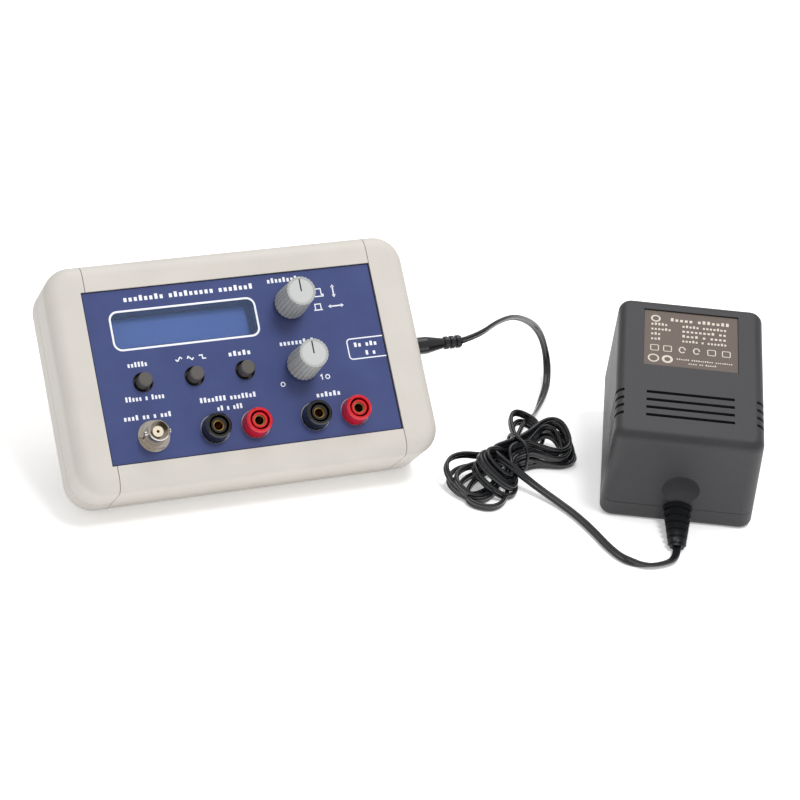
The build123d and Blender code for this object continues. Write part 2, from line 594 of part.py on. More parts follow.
with BuildPart() as socket_nuts:
    with BuildSketch(level(INNER_TOP)):
        with Locations(*socket_places):
            RegularPolygon(8.0, 6)
            Circle(SOCKET_STEM_R + 0.05, mode=Mode.SUBTRACT)
    extrude(amount=-3.5)
finish(socket_nuts, "socket_nuts")

# ---------------------------------------------------------------- BNC connector
WASHER, NUT = 0.6, 2.2
LUG_R, LUG_LENGTH, LUG_HEIGHT = 1.0, 1.1, 6.4
with BuildPart() as bnc_body:
    with BuildSketch(upright(BNC_X, BNC_Y)):
        with BuildLine():
            Polyline(
                (2.5, -10.0), (BNC_R, -10.0), (BNC_R, BNC_FRONT - 0.4), (BNC_R - 0.4, BNC_FRONT),
                (4.1, BNC_FRONT), (4.1, 1.5), (2.5, 1.5), close=True,
            )
        make_face()
    revolve(axis=panel_axis(BNC_X, BNC_Y))
    for side in (-1, 1):
        with BuildSketch(end_plane(BNC_X + side * (BNC_R - 0.2))):
            with Locations((BNC_Y, LUG_HEIGHT)):
                Circle(LUG_R)
        extrude(amount=side * (LUG_LENGTH + 0.2))
finish(bnc_body, "bnc_body")
turned("bnc_insulator", [(BNC_X, BNC_Y)], [
    (0.75, -12.0), (2.45, -12.0), (2.45, 7.8), (0.75, 7.8),
])
turned("bnc_contact", [(BNC_X, BNC_Y)], [
    (0, -16.0), (0.7, -16.0), (0.7, 7.4), (0.45, 7.4), (0.45, 2.0), (0, 2.0),
])
turned("bnc_washer", [(BNC_X, BNC_Y)], [
    (BNC_R + 0.05, PANEL_TOP), (BNC_NUT_R, PANEL_TOP), (BNC_NUT_R, PANEL_TOP + WASHER),
    (BNC_R + 0.05, PANEL_TOP + WASHER),
])
with BuildPart() as bnc_nut:
    with BuildSketch(level(PANEL_TOP + WASHER)):
        with Locations((BNC_X, BNC_Y)):
            RegularPolygon(BNC_NUT_R - 0.3, 6)
            Circle(BNC_R + 0.05, mode=Mode.SUBTRACT)
    extrude(amount=NUT)
finish(bnc_nut, "bnc_nut")

# Insulated wires from the five connectors to the edge of the board.
WIRE_R, WIRE_DIP = 0.8, -27.0
board_edge = BOARD_Y - BOARD_DEPTH / 2 + 3.0
wire_starts = [(x, y, CONTACT_FRONT - CONTACT_LENGTH - 7) for x, y in socket_places]
wire_starts.append((BNC_X, BNC_Y, -16.0))
with BuildPart() as connector_wires:
    for wire_x, wire_y, wire_z in wire_starts:
        corner_points = [
            (wire_x, wire_y, wire_z), (wire_x, wire_y, WIRE_DIP),
            (wire_x, board_edge, WIRE_DIP), (wire_x, board_edge, BOARD_TOP - BOARD_THICK),
        ]
        with BuildLine() as wire:
            FilletPolyline(*[spot(*point) for point in corner_points], radius=1.8)
        with BuildSketch(Plane(origin=wire.line @ 0, z_dir=wire.line % 0)):
            Circle(WIRE_R)
        sweep(path=wire.line)
finish(connector_wires, "connector_wires")

# ---------------------------------------------------------------- power inlet and plug
INLET_FACE = CASE_LENGTH / 2 - WALL - 0.5
INLET_LENGTH = 14.0
BARREL_R, BARREL_LENGTH, JACK_PIN_R = 2.75, 9.5, 1.0
inlet_axis = Axis(spot(0, INLET_Y, INLET_Z), case.x_dir)


def turned_inlet(name, profile):
    """Piece turned about the power inlet's axis from (place along the case, radius) points."""
    side_view = Plane(origin=spot(0, INLET_Y, INLET_Z), x_dir=case.x_dir, z_dir=case.z_dir)
    with BuildPart() as piece:
        with BuildSketch(side_view):
            with BuildLine():
                Polyline(*profile, close=True)
            make_face()
        revolve(axis=inlet_axis)
    finish(piece, name)


with BuildPart() as dc_jack:
    with BuildSketch(end_plane(INLET_FACE)):
        with Locations((INLET_Y, (BOARD_TOP - 10.5) / 2)):
            Rectangle(9.0, -10.5 - BOARD_TOP)
    extrude(amount=-INLET_LENGTH)
    with BuildSketch(end_plane(INLET_FACE)):
        with Locations((INLET_Y, INLET_Z)):
            Circle(BARREL_R + 0.15)
            Circle(JACK_PIN_R, mode=Mode.SUBTRACT)
    extrude(amount=-(BARREL_LENGTH + 0.6), mode=Mode.SUBTRACT)
finish(dc_jack, "dc_jack")

turned_inlet("dc_plug_barrel", [
    (INLET_FACE + 0.1, 1.05), (INLET_FACE - BARREL_LENGTH, 1.05),
    (INLET_FACE - BARREL_LENGTH, BARREL_R), (INLET_FACE + 0.1, BARREL_R),
])

plug_end = CASE_LENGTH / 2 + PLUG_OUTSIDE
RIB_PITCH, RIB_R, NECK_R = 2.9, 3.1, 2.4
ribs_start = plug_end - PLUG_RIBS * RIB_PITCH
plug_profile = [(INLET_FACE + 0.1, 0), (INLET_FACE + 0.1, PLUG_R), (CASE_LENGTH / 2 + 7.5, PLUG_R), (ribs_start, NECK_R)]
for rib in range(PLUG_RIBS):
    rib_foot = ribs_start + rib * RIB_PITCH
    plug_profile += [(rib_foot + 0.5, RIB_R), (rib_foot + RIB_PITCH - 0.9, RIB_R)]
    if rib < PLUG_RIBS - 1:
        plug_profile += [(rib_foot + RIB_PITCH - 0.5, NECK_R), (rib_foot + RIB_PITCH, NECK_R)]
plug_profile += [(plug_end, RIB_R - 0.4), (plug_end, 0)]
turned_inlet("dc_plug", plug_profile)

# ---------------------------------------------------------------- plug-in adaptor
# It lies on its near lower edge and on the tips of its mains prongs.
turn, dip = radians(ADAPTOR_YAW), radians(ADAPTOR_TILT)
adaptor_right = Vector(cos(turn), sin(turn), 0)
adaptor_far = Vector(-sin(turn) * cos(dip), cos(turn) * cos(dip), sin(dip))
edge_lift = ADAPTOR_EDGE_R * (1 - cos(dip) - sin(dip))
adaptor = Plane(
    origin=(ADAPTOR_X, ADAPTOR_Y, edge_lift),
    x_dir=adaptor_right,
    z_dir=adaptor_right.cross(adaptor_far),
)
adaptor_up = Axis(adaptor.origin, adaptor.z_dir)
PRONG_Y = (PRONG_LENGTH * cos(dip) - edge_lift) / sin(dip) + PRONG_R - PRONG_CHAMFER
draft = tan(radians(ADAPTOR_DRAFT))


def adaptor_outline(height, inset=0.0):
    """Outline of the adaptor's drafted block at a height, pulled in by an inset."""
    shrink = 2 * (height * draft + inset)
    with BuildSketch(adaptor.offset(height)) as outline:
        with Locations((0, ADAPTOR_LENGTH / 2)):
            RectangleRounded(
                ADAPTOR_WIDTH - shrink, ADAPTOR_LENGTH - shrink, max(ADAPTOR_CORNER_R - inset, 1.0)
            )
    return outline.sketch


SLOTS, SLOT_PITCH, SLOT_WIDTH, SLOT_LENGTH, SLOT_START = 4, 4.9, 1.7, 40.0, 15.5
LABEL_LENGTH, LABEL_WIDTH, LABEL_START, LABEL_RECESS = 44.0, 37.5, 48.0, 0.8
SCOOP_R, SCOOP_DEPTH, SCOOP_HEIGHT = 20.0, 2.5, 22.0                # hollow in the near face, above the strain relief
slot_ys = [SLOT_START + number * SLOT_PITCH for number in range(SLOTS)]
with BuildPart() as adaptor_cover:
    loft([adaptor_outline(ADAPTOR_BASE + 0.2), adaptor_outline(ADAPTOR_HEIGHT)])
    fillet(adaptor_cover.faces().sort_by(adaptor_up)[-1].edges(), COVER_EDGE_R)
    inside_top = ADAPTOR_HEIGHT - ADAPTOR_WALL
    loft([adaptor_outline(ADAPTOR_BASE - 1, ADAPTOR_WALL), adaptor_outline(inside_top, ADAPTOR_WALL)],
         mode=Mode.SUBTRACT)
    with BuildSketch(adaptor.offset(ADAPTOR_HEIGHT - LABEL_RECESS)):
        with Locations((0, LABEL_START + LABEL_WIDTH / 2)):
            Rectangle(LABEL_LENGTH, LABEL_WIDTH)
    extrude(amount=5, mode=Mode.SUBTRACT)
    with BuildSketch(adaptor.offset(ADAPTOR_HEIGHT - 2 * ADAPTOR_WALL)):
        with Locations(*[(0, y) for y in slot_ys]):
            Rectangle(SLOT_LENGTH, SLOT_WIDTH)
    extrude(amount=4 * ADAPTOR_WALL, mode=Mode.SUBTRACT)
    with BuildSketch(adaptor.offset(ADAPTOR_HEIGHT * 0.6)):
        with Locations(*[(side * ADAPTOR_WIDTH / 2, y) for side in (-1, 1) for y in slot_ys]):
            Rectangle(10.0, SLOT_WIDTH)
    extrude(amount=ADAPTOR_HEIGHT, mode=Mode.SUBTRACT)
    with Locations(adaptor.from_local_coords((0, SCOOP_DEPTH - SCOOP_R, SCOOP_HEIGHT))):
        Sphere(SCOOP_R, mode=Mode.SUBTRACT)
finish(adaptor_cover, "adaptor_cover")

adaptor_screw_places = [
    (x, ADAPTOR_LENGTH / 2 + y) for x, y in corners((ADAPTOR_WIDTH / 2 - 8, ADAPTOR_LENGTH / 2 - 8))
]
prong_places = [(-PRONG_PITCH / 2, PRONG_Y), (PRONG_PITCH / 2, PRONG_Y)]
with BuildPart() as adaptor_base:
    loft([adaptor_outline(0), adaptor_outline(ADAPTOR_BASE)])
    fillet(adaptor_base.faces().sort_by(adaptor_up)[0].edges(), ADAPTOR_EDGE_R)
    loft([adaptor_outline(ADAPTOR_WALL + 1.0, ADAPTOR_WALL), adaptor_outline(ADAPTOR_BASE + 1, ADAPTOR_WALL)],
         mode=Mode.SUBTRACT)
    round_holes(adaptor.offset(ADAPTOR_BASE), prong_places, PRONG_NECK_R, 2 * ADAPTOR_BASE)
    posts(adaptor.offset(ADAPTOR_WALL), adaptor_screw_places, 3.4, ADAPTOR_BASE - ADAPTOR_WALL)
    round_holes(adaptor.offset(ADAPTOR_BASE), adaptor_screw_places, 1.7, 2 * ADAPTOR_BASE)
    round_holes(adaptor.offset(3.0), adaptor_screw_places, 2.6, 5)
finish(adaptor_base, "adaptor_base")

with BuildPart() as adaptor_label:
    with BuildSketch(adaptor.offset(ADAPTOR_HEIGHT - LABEL_RECESS)):
        with Locations((0, LABEL_START + LABEL_WIDTH / 2)):
            Rectangle(LABEL_LENGTH - 0.6, LABEL_WIDTH - 0.6)
    extrude(amount=0.2)
finish(adaptor_label, "adaptor_label")

with BuildPart() as adaptor_screws:
    posts(adaptor.offset(3.0), adaptor_screw_places, 2.5, -2.0)
    posts(adaptor.offset(3.0), adaptor_screw_places, 1.5, 6.5)
    round_holes(adaptor.offset(1.0), adaptor_screw_places, 0.9, -1.0)
finish(adaptor_screws, "adaptor_screws")

with BuildPart() as adaptor_prongs:
    posts(adaptor.offset(-PRONG_LENGTH), prong_places, PRONG_R, PRONG_LENGTH - PRONG_NECK)
    chamfer(adaptor_prongs.faces().group_by(adaptor_up)[0].edges(), PRONG_CHAMFER)
    posts(adaptor.offset(-PRONG_NECK), prong_places, PRONG_NECK_R, PRONG_NECK + 5.0)
finish(adaptor_prongs, "adaptor_prongs")

CORE_LENGTH, CORE_WIDTH, CORE_HEIGHT, CORE_Y, CORE_FLOOR = 57.0, 47.5, 24.0, 47.0, 15.5
WINDOW_LENGTH, WINDOW_WIDTH = 38.0, 28.5
with BuildPart() as transformer_core:
    with BuildSketch(adaptor.offset(CORE_FLOOR)):
        with Locations((0, CORE_Y)):
            Rectangle(CORE_LENGTH, CORE_WIDTH)
            Rectangle(WINDOW_LENGTH, WINDOW_WIDTH, mode=Mode.SUBTRACT)
            Rectangle(19.0, WINDOW_WIDTH + 2)
    extrude(amount=CORE_HEIGHT)
finish(transformer_core, "transformer_core")

with BuildPart() as transformer_winding:
    with BuildSketch(adaptor.offset(CORE_FLOOR - 5.0)):
        with Locations((0, CORE_Y)):
            Rectangle(WINDOW_LENGTH - 1.0, WINDOW_WIDTH - 0.6)
            Rectangle(19.4, WINDOW_WIDTH - 0.6, mode=Mode.SUBTRACT)
    extrude(amount=CORE_HEIGHT + 10)
    for end_height in (CORE_FLOOR - 5.0, CORE_FLOOR + CORE_HEIGHT + 0.2):
        with BuildSketch(adaptor.offset(end_height)):
            with Locations((0, CORE_Y)):
                Rectangle(19.4, WINDOW_WIDTH - 0.6)
        extrude(amount=4.8)
finish(transformer_winding, "transformer_winding")

# Strain relief: a tapering oval body with ribs, which leaves the near face along the length.
RIBS, RELIEF_ROOT, RELIEF_TIP = 6, (6.8, 4.6), (4.0, 2.2)
relief_pitch = RELIEF_LENGTH / RIBS


def relief_section(distance, scale=1.0):
    """Oval section of the strain relief at a distance in front of the near face."""
    share = distance / RELIEF_LENGTH
    half_width = RELIEF_ROOT[0] + (RELIEF_TIP[0] - RELIEF_ROOT[0]) * share
    half_height = RELIEF_ROOT[1] + (RELIEF_TIP[1] - RELIEF_ROOT[1]) * share
    centre = adaptor.from_local_coords((0, -distance, RELIEF_HEIGHT))
    with BuildSketch(Plane(origin=centre, x_dir=adaptor.x_dir, z_dir=adaptor_far * -1)) as section:
        Ellipse(half_width * scale, half_height * scale)
    return section.sketch


NECK_SCALE = 0.82
with BuildPart() as adaptor_strain_relief:
    loft([relief_section(-0.6, NECK_SCALE), relief_section(RELIEF_LENGTH, NECK_SCALE)])
    for rib in range(RIBS):
        loft([relief_section(rib * relief_pitch), relief_section((rib + 0.6) * relief_pitch)])
finish(adaptor_strain_relief, "adaptor_strain_relief")
relief_end = adaptor.from_local_coords((0, -RELIEF_LENGTH, RELIEF_HEIGHT))

# ---------------------------------------------------------------- lead, hank and tie
HANK_X, HANK_Y, HANK_YAW = 126.7, -46.3, 17.0
HANK_LOBES = ((-20.0, 19.0), (17.0, 15.0))    # place along the hank and radius of each end's loops
HANK_WAIST, WAIST_LENGTH, WAIST_R = 15.0, 12.0, 2.0
HANK_BOTTOM, HANK_TOP = 1.2, 16.0
TIE_R, TIE_GAP = 0.8, 0.1
hank_yaw = radians(HANK_YAW)
hank_along = Vector(cos(hank_yaw), sin(hank_yaw), 0)
hank = Plane(origin=(HANK_X, HANK_Y, 0), x_dir=hank_along, z_dir=(0, 0, 1))
with BuildPart() as cord_hank:
    with BuildSketch(hank.offset(HANK_BOTTOM)) as hank_outline:
        Rectangle(WAIST_LENGTH, HANK_WAIST)
        for lobe_x, lobe_r in HANK_LOBES:
            with Locations((lobe_x, 0)):
                Circle(lobe_r)
        waist_corners = hank_outline.vertices().filter_by(lambda corner: abs(corner.Y) > HANK_WAIST / 4)
        fillet(waist_corners, WAIST_R)
    extrude(amount=HANK_TOP - HANK_BOTTOM)
    fillet(cord_hank.faces().sort_by(Axis.Z)[-1].edges(), 4.0)
    fillet(cord_hank.faces().sort_by(Axis.Z)[0].edges(), 1.5)
finish(cord_hank, "cord_hank")

with BuildPart() as cord_tie:
    inner_width, inner_top = HANK_WAIST + 2 * TIE_GAP, HANK_TOP + TIE_GAP
    outer_height = inner_top + 2 * TIE_R
    with BuildSketch(Plane(origin=hank.origin, x_dir=hank.y_dir, z_dir=hank.x_dir)):
        with Locations((0, outer_height / 2)):
            RectangleRounded(inner_width + 4 * TIE_R, outer_height, 4.0)
        with Locations((0, (inner_top + HANK_BOTTOM - TIE_GAP) / 2)):
            RectangleRounded(inner_width, inner_top - HANK_BOTTOM + TIE_GAP, 2.6, mode=Mode.SUBTRACT)
    extrude(amount=TIE_R, both=True)
finish(cord_tie, "cord_tie")

plug_tip = spot(plug_end, INLET_Y, INLET_Z)
LEAD_ROUTE = [
    tuple(plug_tip),
    (120.5, -8.6, 52.4),
    (133.5, 1.1, 52.6),
    (148.5, 13.1, 48.5),
    (161.5, 23.1, 40),
    (171.5, 31.1, 31),
    (179, 35.6, 20.5),
    (181, 32.6, 9),
    (177, 23.1, 2.2),
    (169.5, 11.6, 1.9),
    (160.5, -0.4, 2),
    (151.5, -11.9, 3.2),
    (143, -21.9, 5.6),
    (135, -31, 9),
]
TAIL_ROUTE = [
    tuple(relief_end),
    (165.6, -139.6, 1.9),
    (157.4, -143.6, 1.9),
    (148, -142, 1.9),
    (141.6, -134.5, 1.9),
    (140.2, -122.5, 1.9),
    (140, -109, 1.9),
    (138.3, -95.5, 1.9),
    (134.6, -82.5, 2.2),
    (128.4, -71, 4.4),
    (120.8, -61, 8.4),
]


def lead_tube(name, route):
    """Round tube along straight runs joined by the largest arcs that the runs allow."""
    points = [Vector(*point) for point in route]
    runs = [end - start for start, end in zip(points, points[1:])]
    radii = []
    for before, after in zip(runs, runs[1:]):
        half_turn = radians(before.get_angle(after)) / 2
        radii.append(0.45 * min(before.length, after.length) / tan(half_turn))
    with BuildPart() as tube:
        with BuildLine() as path:
            FilletPolyline(*points, radius=radii)
        with BuildSketch(Plane(origin=path.line @ 0, z_dir=path.line % 0)):
            Circle(LEAD_R)
        sweep(path=path.line)
    finish(tube, name)
    length = path.wire().length
    expected = pi * LEAD_R**2 * length
    print(name, "length", round(length, 1), "volume ratio", round(tube.part.volume / expected, 4))
    print(name, "runs", [round(run.length, 1) for run in runs], "radii", [round(radius, 1) for radius in radii])


lead_tube("cord_lead", LEAD_ROUTE)
lead_tube("cord_tail", TAIL_ROUTE)
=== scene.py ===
import json
import math
import random

import bpy
from mathutils import Matrix, Vector


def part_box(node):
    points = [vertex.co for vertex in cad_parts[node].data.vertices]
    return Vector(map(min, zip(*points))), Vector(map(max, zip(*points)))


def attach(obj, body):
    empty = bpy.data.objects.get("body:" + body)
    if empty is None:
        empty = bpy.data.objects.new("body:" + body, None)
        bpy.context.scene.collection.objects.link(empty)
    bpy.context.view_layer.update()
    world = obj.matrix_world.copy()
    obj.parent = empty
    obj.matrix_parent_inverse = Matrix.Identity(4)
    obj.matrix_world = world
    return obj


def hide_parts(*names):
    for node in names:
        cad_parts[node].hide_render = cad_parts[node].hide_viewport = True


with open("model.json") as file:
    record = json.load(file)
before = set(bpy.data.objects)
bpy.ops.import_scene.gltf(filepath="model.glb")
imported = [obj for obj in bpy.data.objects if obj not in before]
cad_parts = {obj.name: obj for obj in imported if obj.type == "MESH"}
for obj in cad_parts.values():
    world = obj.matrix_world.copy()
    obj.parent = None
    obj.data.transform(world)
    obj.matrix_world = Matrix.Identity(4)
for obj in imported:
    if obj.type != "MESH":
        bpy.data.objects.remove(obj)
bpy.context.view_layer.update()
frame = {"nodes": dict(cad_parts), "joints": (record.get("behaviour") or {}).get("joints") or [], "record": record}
nodes = frame["nodes"]
joints = {joint["name"]: joint for joint in frame["joints"]}
mounts = {mount["name"]: mount for mount in frame["record"]["mounts"]}
MM = 0.001

# ---------------------------------------------------------------- the case's own frame
# Millimetres from the middle of the top face: x along the case, y up the slope, z out of the panel.
KNOB_X, FREQUENCY_Y, AMPLITUDE_Y = 25.6, 23.6, -5.6
outward = Vector(joints["frequency_turn"]["axis"]).normalized()
along = Vector((1, 0, 0))
up_slope = outward.cross(along)
knob_foot = Vector(joints["frequency_turn"]["pos_m"])
case_origin = knob_foot - along * KNOB_X * MM - up_slope * FREQUENCY_Y * MM


def frame_matrix(origin, x_dir, y_dir, z_dir):
    """Matrix from millimetres in a frame of its own to metres in the row's frame."""
    turn = Matrix((x_dir, y_dir, z_dir)).transposed().to_4x4()
    return Matrix.Translation(origin) @ turn @ Matrix.Scale(MM, 4)


CASE = frame_matrix(case_origin, along, up_slope, outward)

# The adaptor's frame: x across, y away from its lead, z up through its label.
prong_1, prong_2 = (Vector(mounts[f"mains_prong_{n}"]["pos_m"]) for n in (1, 2))
adaptor_x = (prong_2 - prong_1).normalized()
adaptor_z = -Vector(mounts["mains_prong_1"]["axis"]).normalized()
adaptor_y = adaptor_z.cross(adaptor_x)

# ---------------------------------------------------------------- camera
# Above and in front of the case, given in the case's frame.
CAMERA_PLACE = (-326.2, -267.4, 1017.3)
CAMERA_RIGHT = Vector((0.928, -0.203, 0.312))
CAMERA_DOWN = Vector((-0.118, -0.955, -0.271))
FOCAL_LENGTH, SENSOR = 110.25, 36.0
NEAREST, FARTHEST = 0.01, 20                  # what the camera sees, in metres


def add_camera():
    """Camera at its place, with its axes made square to each other."""
    camera = bpy.data.objects.new("camera", bpy.data.cameras.new("camera"))
    bpy.context.scene.collection.objects.link(camera)
    turn = CASE.to_3x3().normalized()
    right = (turn @ CAMERA_RIGHT).normalized()
    up = -(turn @ CAMERA_DOWN).normalized()
    back = right.cross(up).normalized()
    up = back.cross(right)
    camera.matrix_world = (
        Matrix.Translation(CASE @ Vector(CAMERA_PLACE))
        @ Matrix((right, up, back)).transposed().to_4x4()
    )
    camera.data.lens = FOCAL_LENGTH
    camera.data.sensor_width = SENSOR
    camera.data.clip_start, camera.data.clip_end = NEAREST, FARTHEST
    bpy.context.scene.camera = camera


add_camera()

# ---------------------------------------------------------------- the lead
LEAD_WIDTH, LEAD_THICK = 3.8, 2.0
WEB_ANGLE, WIRE_STEPS = math.radians(142), 8  # how far round each wire the outline goes, and its steps
PATH_SAMPLES = 6
# Control points of the free stretches: from the plug to the hank, and from the hank to the adaptor.
LEAD_ROUTE = [
    (110, -10.7, 51.5), (120.5, -8.6, 52.4), (133.5, 1.1, 52.6), (147, 11.6, 48.8),
    (159.5, 21, 40.5), (169.5, 29, 31), (176.5, 33.5, 20.5), (179, 31, 9), (175.5, 22, 2.4),
    (168.5, 11, 2), (160, -1, 2.2), (151.5, -12.4, 5), (144, -22, 10), (136.5, -32, 14),
]
TAIL_ROUTE = [
    (113.5, -49.5, 14.6), (114, -55, 13.4), (120.5, -62, 9.5), (127.5, -70.3, 4.6),
    (134, -82.5, 2.2), (137.6, -95.5, 1.9), (139.4, -109, 1.9), (140.2, -122.5, 1.9),
    (142.6, -133.5, 1.9), (149.5, -140.4, 1.9), (158.4, -141.4, 1.9), (166.4, -139, 1.95),
    (169.99, -131.79, 2.53),
]
HANK_MIDDLE, HANK_YAW = Vector((126.7, -46.3, 0)), math.radians(17.0)
WAIST = 5.0                                   # half the stretch where the turns run side by side
LOWEST_LINE = LEAD_WIDTH / 2 + 0.2
# Half of a loop's outline, as shares of its length and its half width.
LOBE = ((0.30, 0.50), (0.62, 0.96), (0.90, 1.00), (1.07, 0.55))
# One row for each turn: the waist's two slots as (across, height), then for the left and the right
# loop its direction from the hank's long axis, its length, half width, slant and rise.
TURNS = [
    ((5.2, 9.9), (-5.0, 2.1), (184, 32, 11.5, 32, 0), (-10, 25, 13, 34, 0)),
    ((5.1, 2.1), (-3.0, 2.1), (190, 32.5, 9.5, 28, 0), (-10, 22.5, 11.5, 34, 0)),
    ((5.1, 6.0), (-5.1, 6.0), (196, 33, 8.5, 22, 0), (-11, 20, 9.5, 34, 0)),
    ((3.2, 2.1), (-1.0, 2.1), (202, 33, 8, 16, 0), (36, 20, 8, 22, 5)),
    ((3.2, 6.0), (-3.1, 6.0), (212, 35.5, 9, 12, -5), (-12, 23.5, 11.5, 36, 2)),
    ((1.2, 6.0), (-1.1, 6.0), (215, 25, 12, 32, 0), (44, 20.5, 7.5, 22, 6)),
    ((3.2, 9.9), (-5.1, 9.9), (214, 22.5, 11, 34, 1), (-12, 20.5, 9.5, 34, 2)),
    ((1.2, 9.9), (-3.1, 9.9), (213, 20, 9.5, 36, 1), (-10, 17, 7.5, 34, 2)),
    ((-0.9, 9.9), (-1.2, 13.6), (212, 17.5, 8, 36, 1), (-16, 22, 8.5, 30, 0)),
]
LAST_SLOT = (2.0, 13.8)
# The wide side's direction at a few places, by control point; it turns smoothly in between.
LEAD_WIDE = (
    (0, (0, -0.4, 0.9)), (3, (0.3, -0.6, 0.7)), (6, (0.5, 0.3, 0.5)), (8, (0.9, -0.5, 0.1)),
    (10, (0.3, -0.3, 0.9)),
)
TAIL_WIDE = (
    (2, (0.2, 0.2, 0.9)), (5, (0.9, 0.3, 0.2)), (8, (0.9, 0.3, 0.4)), (11, (0.2, -0.8, 0.5)),
    (13, (0.9, -0.4, 0.1)),
)
# The tie round the waist: its half width, its lowest and highest line, how square it is, its radius,
# its place along the waist, and its skew.
TIE_HALF_WIDTH, TIE_LOW, TIE_HIGH, TIE_POWER, TIE_R = 8.2, 0.9, 16.4, 0.62, 0.8
TIE_PLACE, TIE_SIDE, TIE_SKEW, TIE_STEPS = 1.6, -0.6, 0.12, 64


def hank_point(s, across, height):
    """Point of the hank from its place along, across and above the floor."""
    c, r = math.cos(HANK_YAW), math.sin(HANK_YAW)
    return HANK_MIDDLE + Vector((s * c - across * r, s * r + across * c, height))


def hank_direction(s, across, height):
    """Direction in the hank's own frame, turned to the row's."""
    return hank_point(s, across, height) - HANK_MIDDLE


def loop_points(side, leave, back, loop):
    """Points of one loop, which leaves the waist at one slot and comes back at the other."""
    direction, length, half_width, slant, rise = loop
    angle, tilt = math.radians(direction), math.radians(slant)
    ahead = Vector((math.cos(angle), math.sin(angle), 0))
    sideways = Vector((-ahead.y * math.cos(tilt), ahead.x * math.cos(tilt), side * math.sin(tilt)))
    root = Vector((side * WAIST, (leave[0] + back[0]) / 2, (leave[1] + back[1]) / 2))
    points = []
    for turn in (-1, 1):
        for share, spread in LOBE[:: -turn]:
            point = root + ahead * share * length + sideways * turn * spread * half_width
            point.z += rise * share
            point.z = max(point.z, LOWEST_LINE)
            points.append(hank_point(*point))
    return points, hank_direction(*ahead.cross(sideways))


def hank_route():
    """The turns of the hank, one after another, each once round both ends, and its wide directions."""
    points, keys = [], []
    for number, (rear, front, left_loop, right_loop) in enumerate(TURNS):
        following = TURNS[number + 1][0] if number + 1 < len(TURNS) else LAST_SLOT
        for side, leave, back, loop in ((-1, rear, front, left_loop), (1, front, following, right_loop)):
            keys.append((len(points) + 0.5, Vector((0, 0, 1))))
            points += [hank_point(-side * WAIST, *leave), hank_point(side * WAIST, *leave)]
            around, normal = loop_points(side, leave, back, loop)
            keys.append((len(points) + len(around) / 2 - 0.5, normal))
            points += around
    keys.append((len(points) + 0.5, Vector((0, 0, 1))))
    points += [hank_point(WAIST, *LAST_SLOT), hank_point(-WAIST, *LAST_SLOT)]
    return points, keys


def nurbs_path(points, samples):
    """Points along the NURBS spline that has these control points, in metres."""
    curve = bpy.data.curves.new("route", "CURVE")
    curve.dimensions = "3D"
    curve.resolution_u = samples
    spline = curve.splines.new("NURBS")
    spline.points.add(len(points) - 1)
    for place, point in zip(spline.points, points):
        place.co = (point[0] * MM, point[1] * MM, point[2] * MM, 1)
    spline.order_u = 3
    spline.use_endpoint_u = True
    carrier = bpy.data.objects.new("route", curve)
    bpy.context.scene.collection.objects.link(carrier)
    bpy.context.view_layer.update()
    graph = bpy.context.evaluated_depsgraph_get()
    line = bpy.data.meshes.new_from_object(carrier.evaluated_get(graph))
    path = [vertex.co.copy() for vertex in line.vertices]
    bpy.data.objects.remove(carrier)
    return path


def new_object(name, mesh, body="root"):
    """Object from a finished mesh in metres, riding on a body."""
    piece = bpy.data.objects.new(name, mesh)
    bpy.context.scene.collection.objects.link(piece)
    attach(piece, body)
    return piece


def mesh_from(name, verts, faces, smooth=True):
    """Mesh from its points and faces."""
    mesh = bpy.data.meshes.new(name)
    mesh.from_pydata([tuple(v) for v in verts], [], faces)
    mesh.validate()
    for polygon in mesh.polygons:
        polygon.use_smooth = smooth
    return mesh


def tube_mesh(name, path, section, wide, closed=False):
    """Mesh that sweeps a section, in millimetres, along a path; wide(index) gives its wide direction."""
    count, verts, faces = len(section), [], []
    last = len(path) - 1
    for index, point in enumerate(path):
        before = path[index - 1] if closed else path[max(index - 1, 0)]
        after = path[(index + 1) % len(path)] if closed else path[min(index + 1, last)]
        tangent = (after - before).normalized()
        reference = wide(index)
        across = (reference - tangent * reference.dot(tangent)).normalized()
        thick = tangent.cross(across)
        verts += [point + (across * u + thick * v) * MM for u, v in section]
    for ring in range(len(path) if closed else last):
        following = (ring + 1) % len(path)
        for k in range(count):
            after_k = (k + 1) % count
            here, there = ring * count, following * count
            faces.append((here + k, here + after_k, there + after_k, there + k))
    if not closed:
        faces.append(tuple(range(count))[::-1])
        faces.append(tuple(range(len(verts) - count, len(verts))))
    return mesh_from(name, verts, faces)


def twin_section():
    """Outline of the flat twin lead: two round wires side by side."""
    wire_r = LEAD_THICK / 2
    centre = LEAD_WIDTH / 2 - wire_r
    angles = [WEB_ANGLE * (2 * k / WIRE_STEPS - 1) for k in range(WIRE_STEPS + 1)]
    half = [(centre + wire_r * math.cos(angle), wire_r * math.sin(angle)) for angle in angles]
    return half + [(-u, -v) for u, v in half]


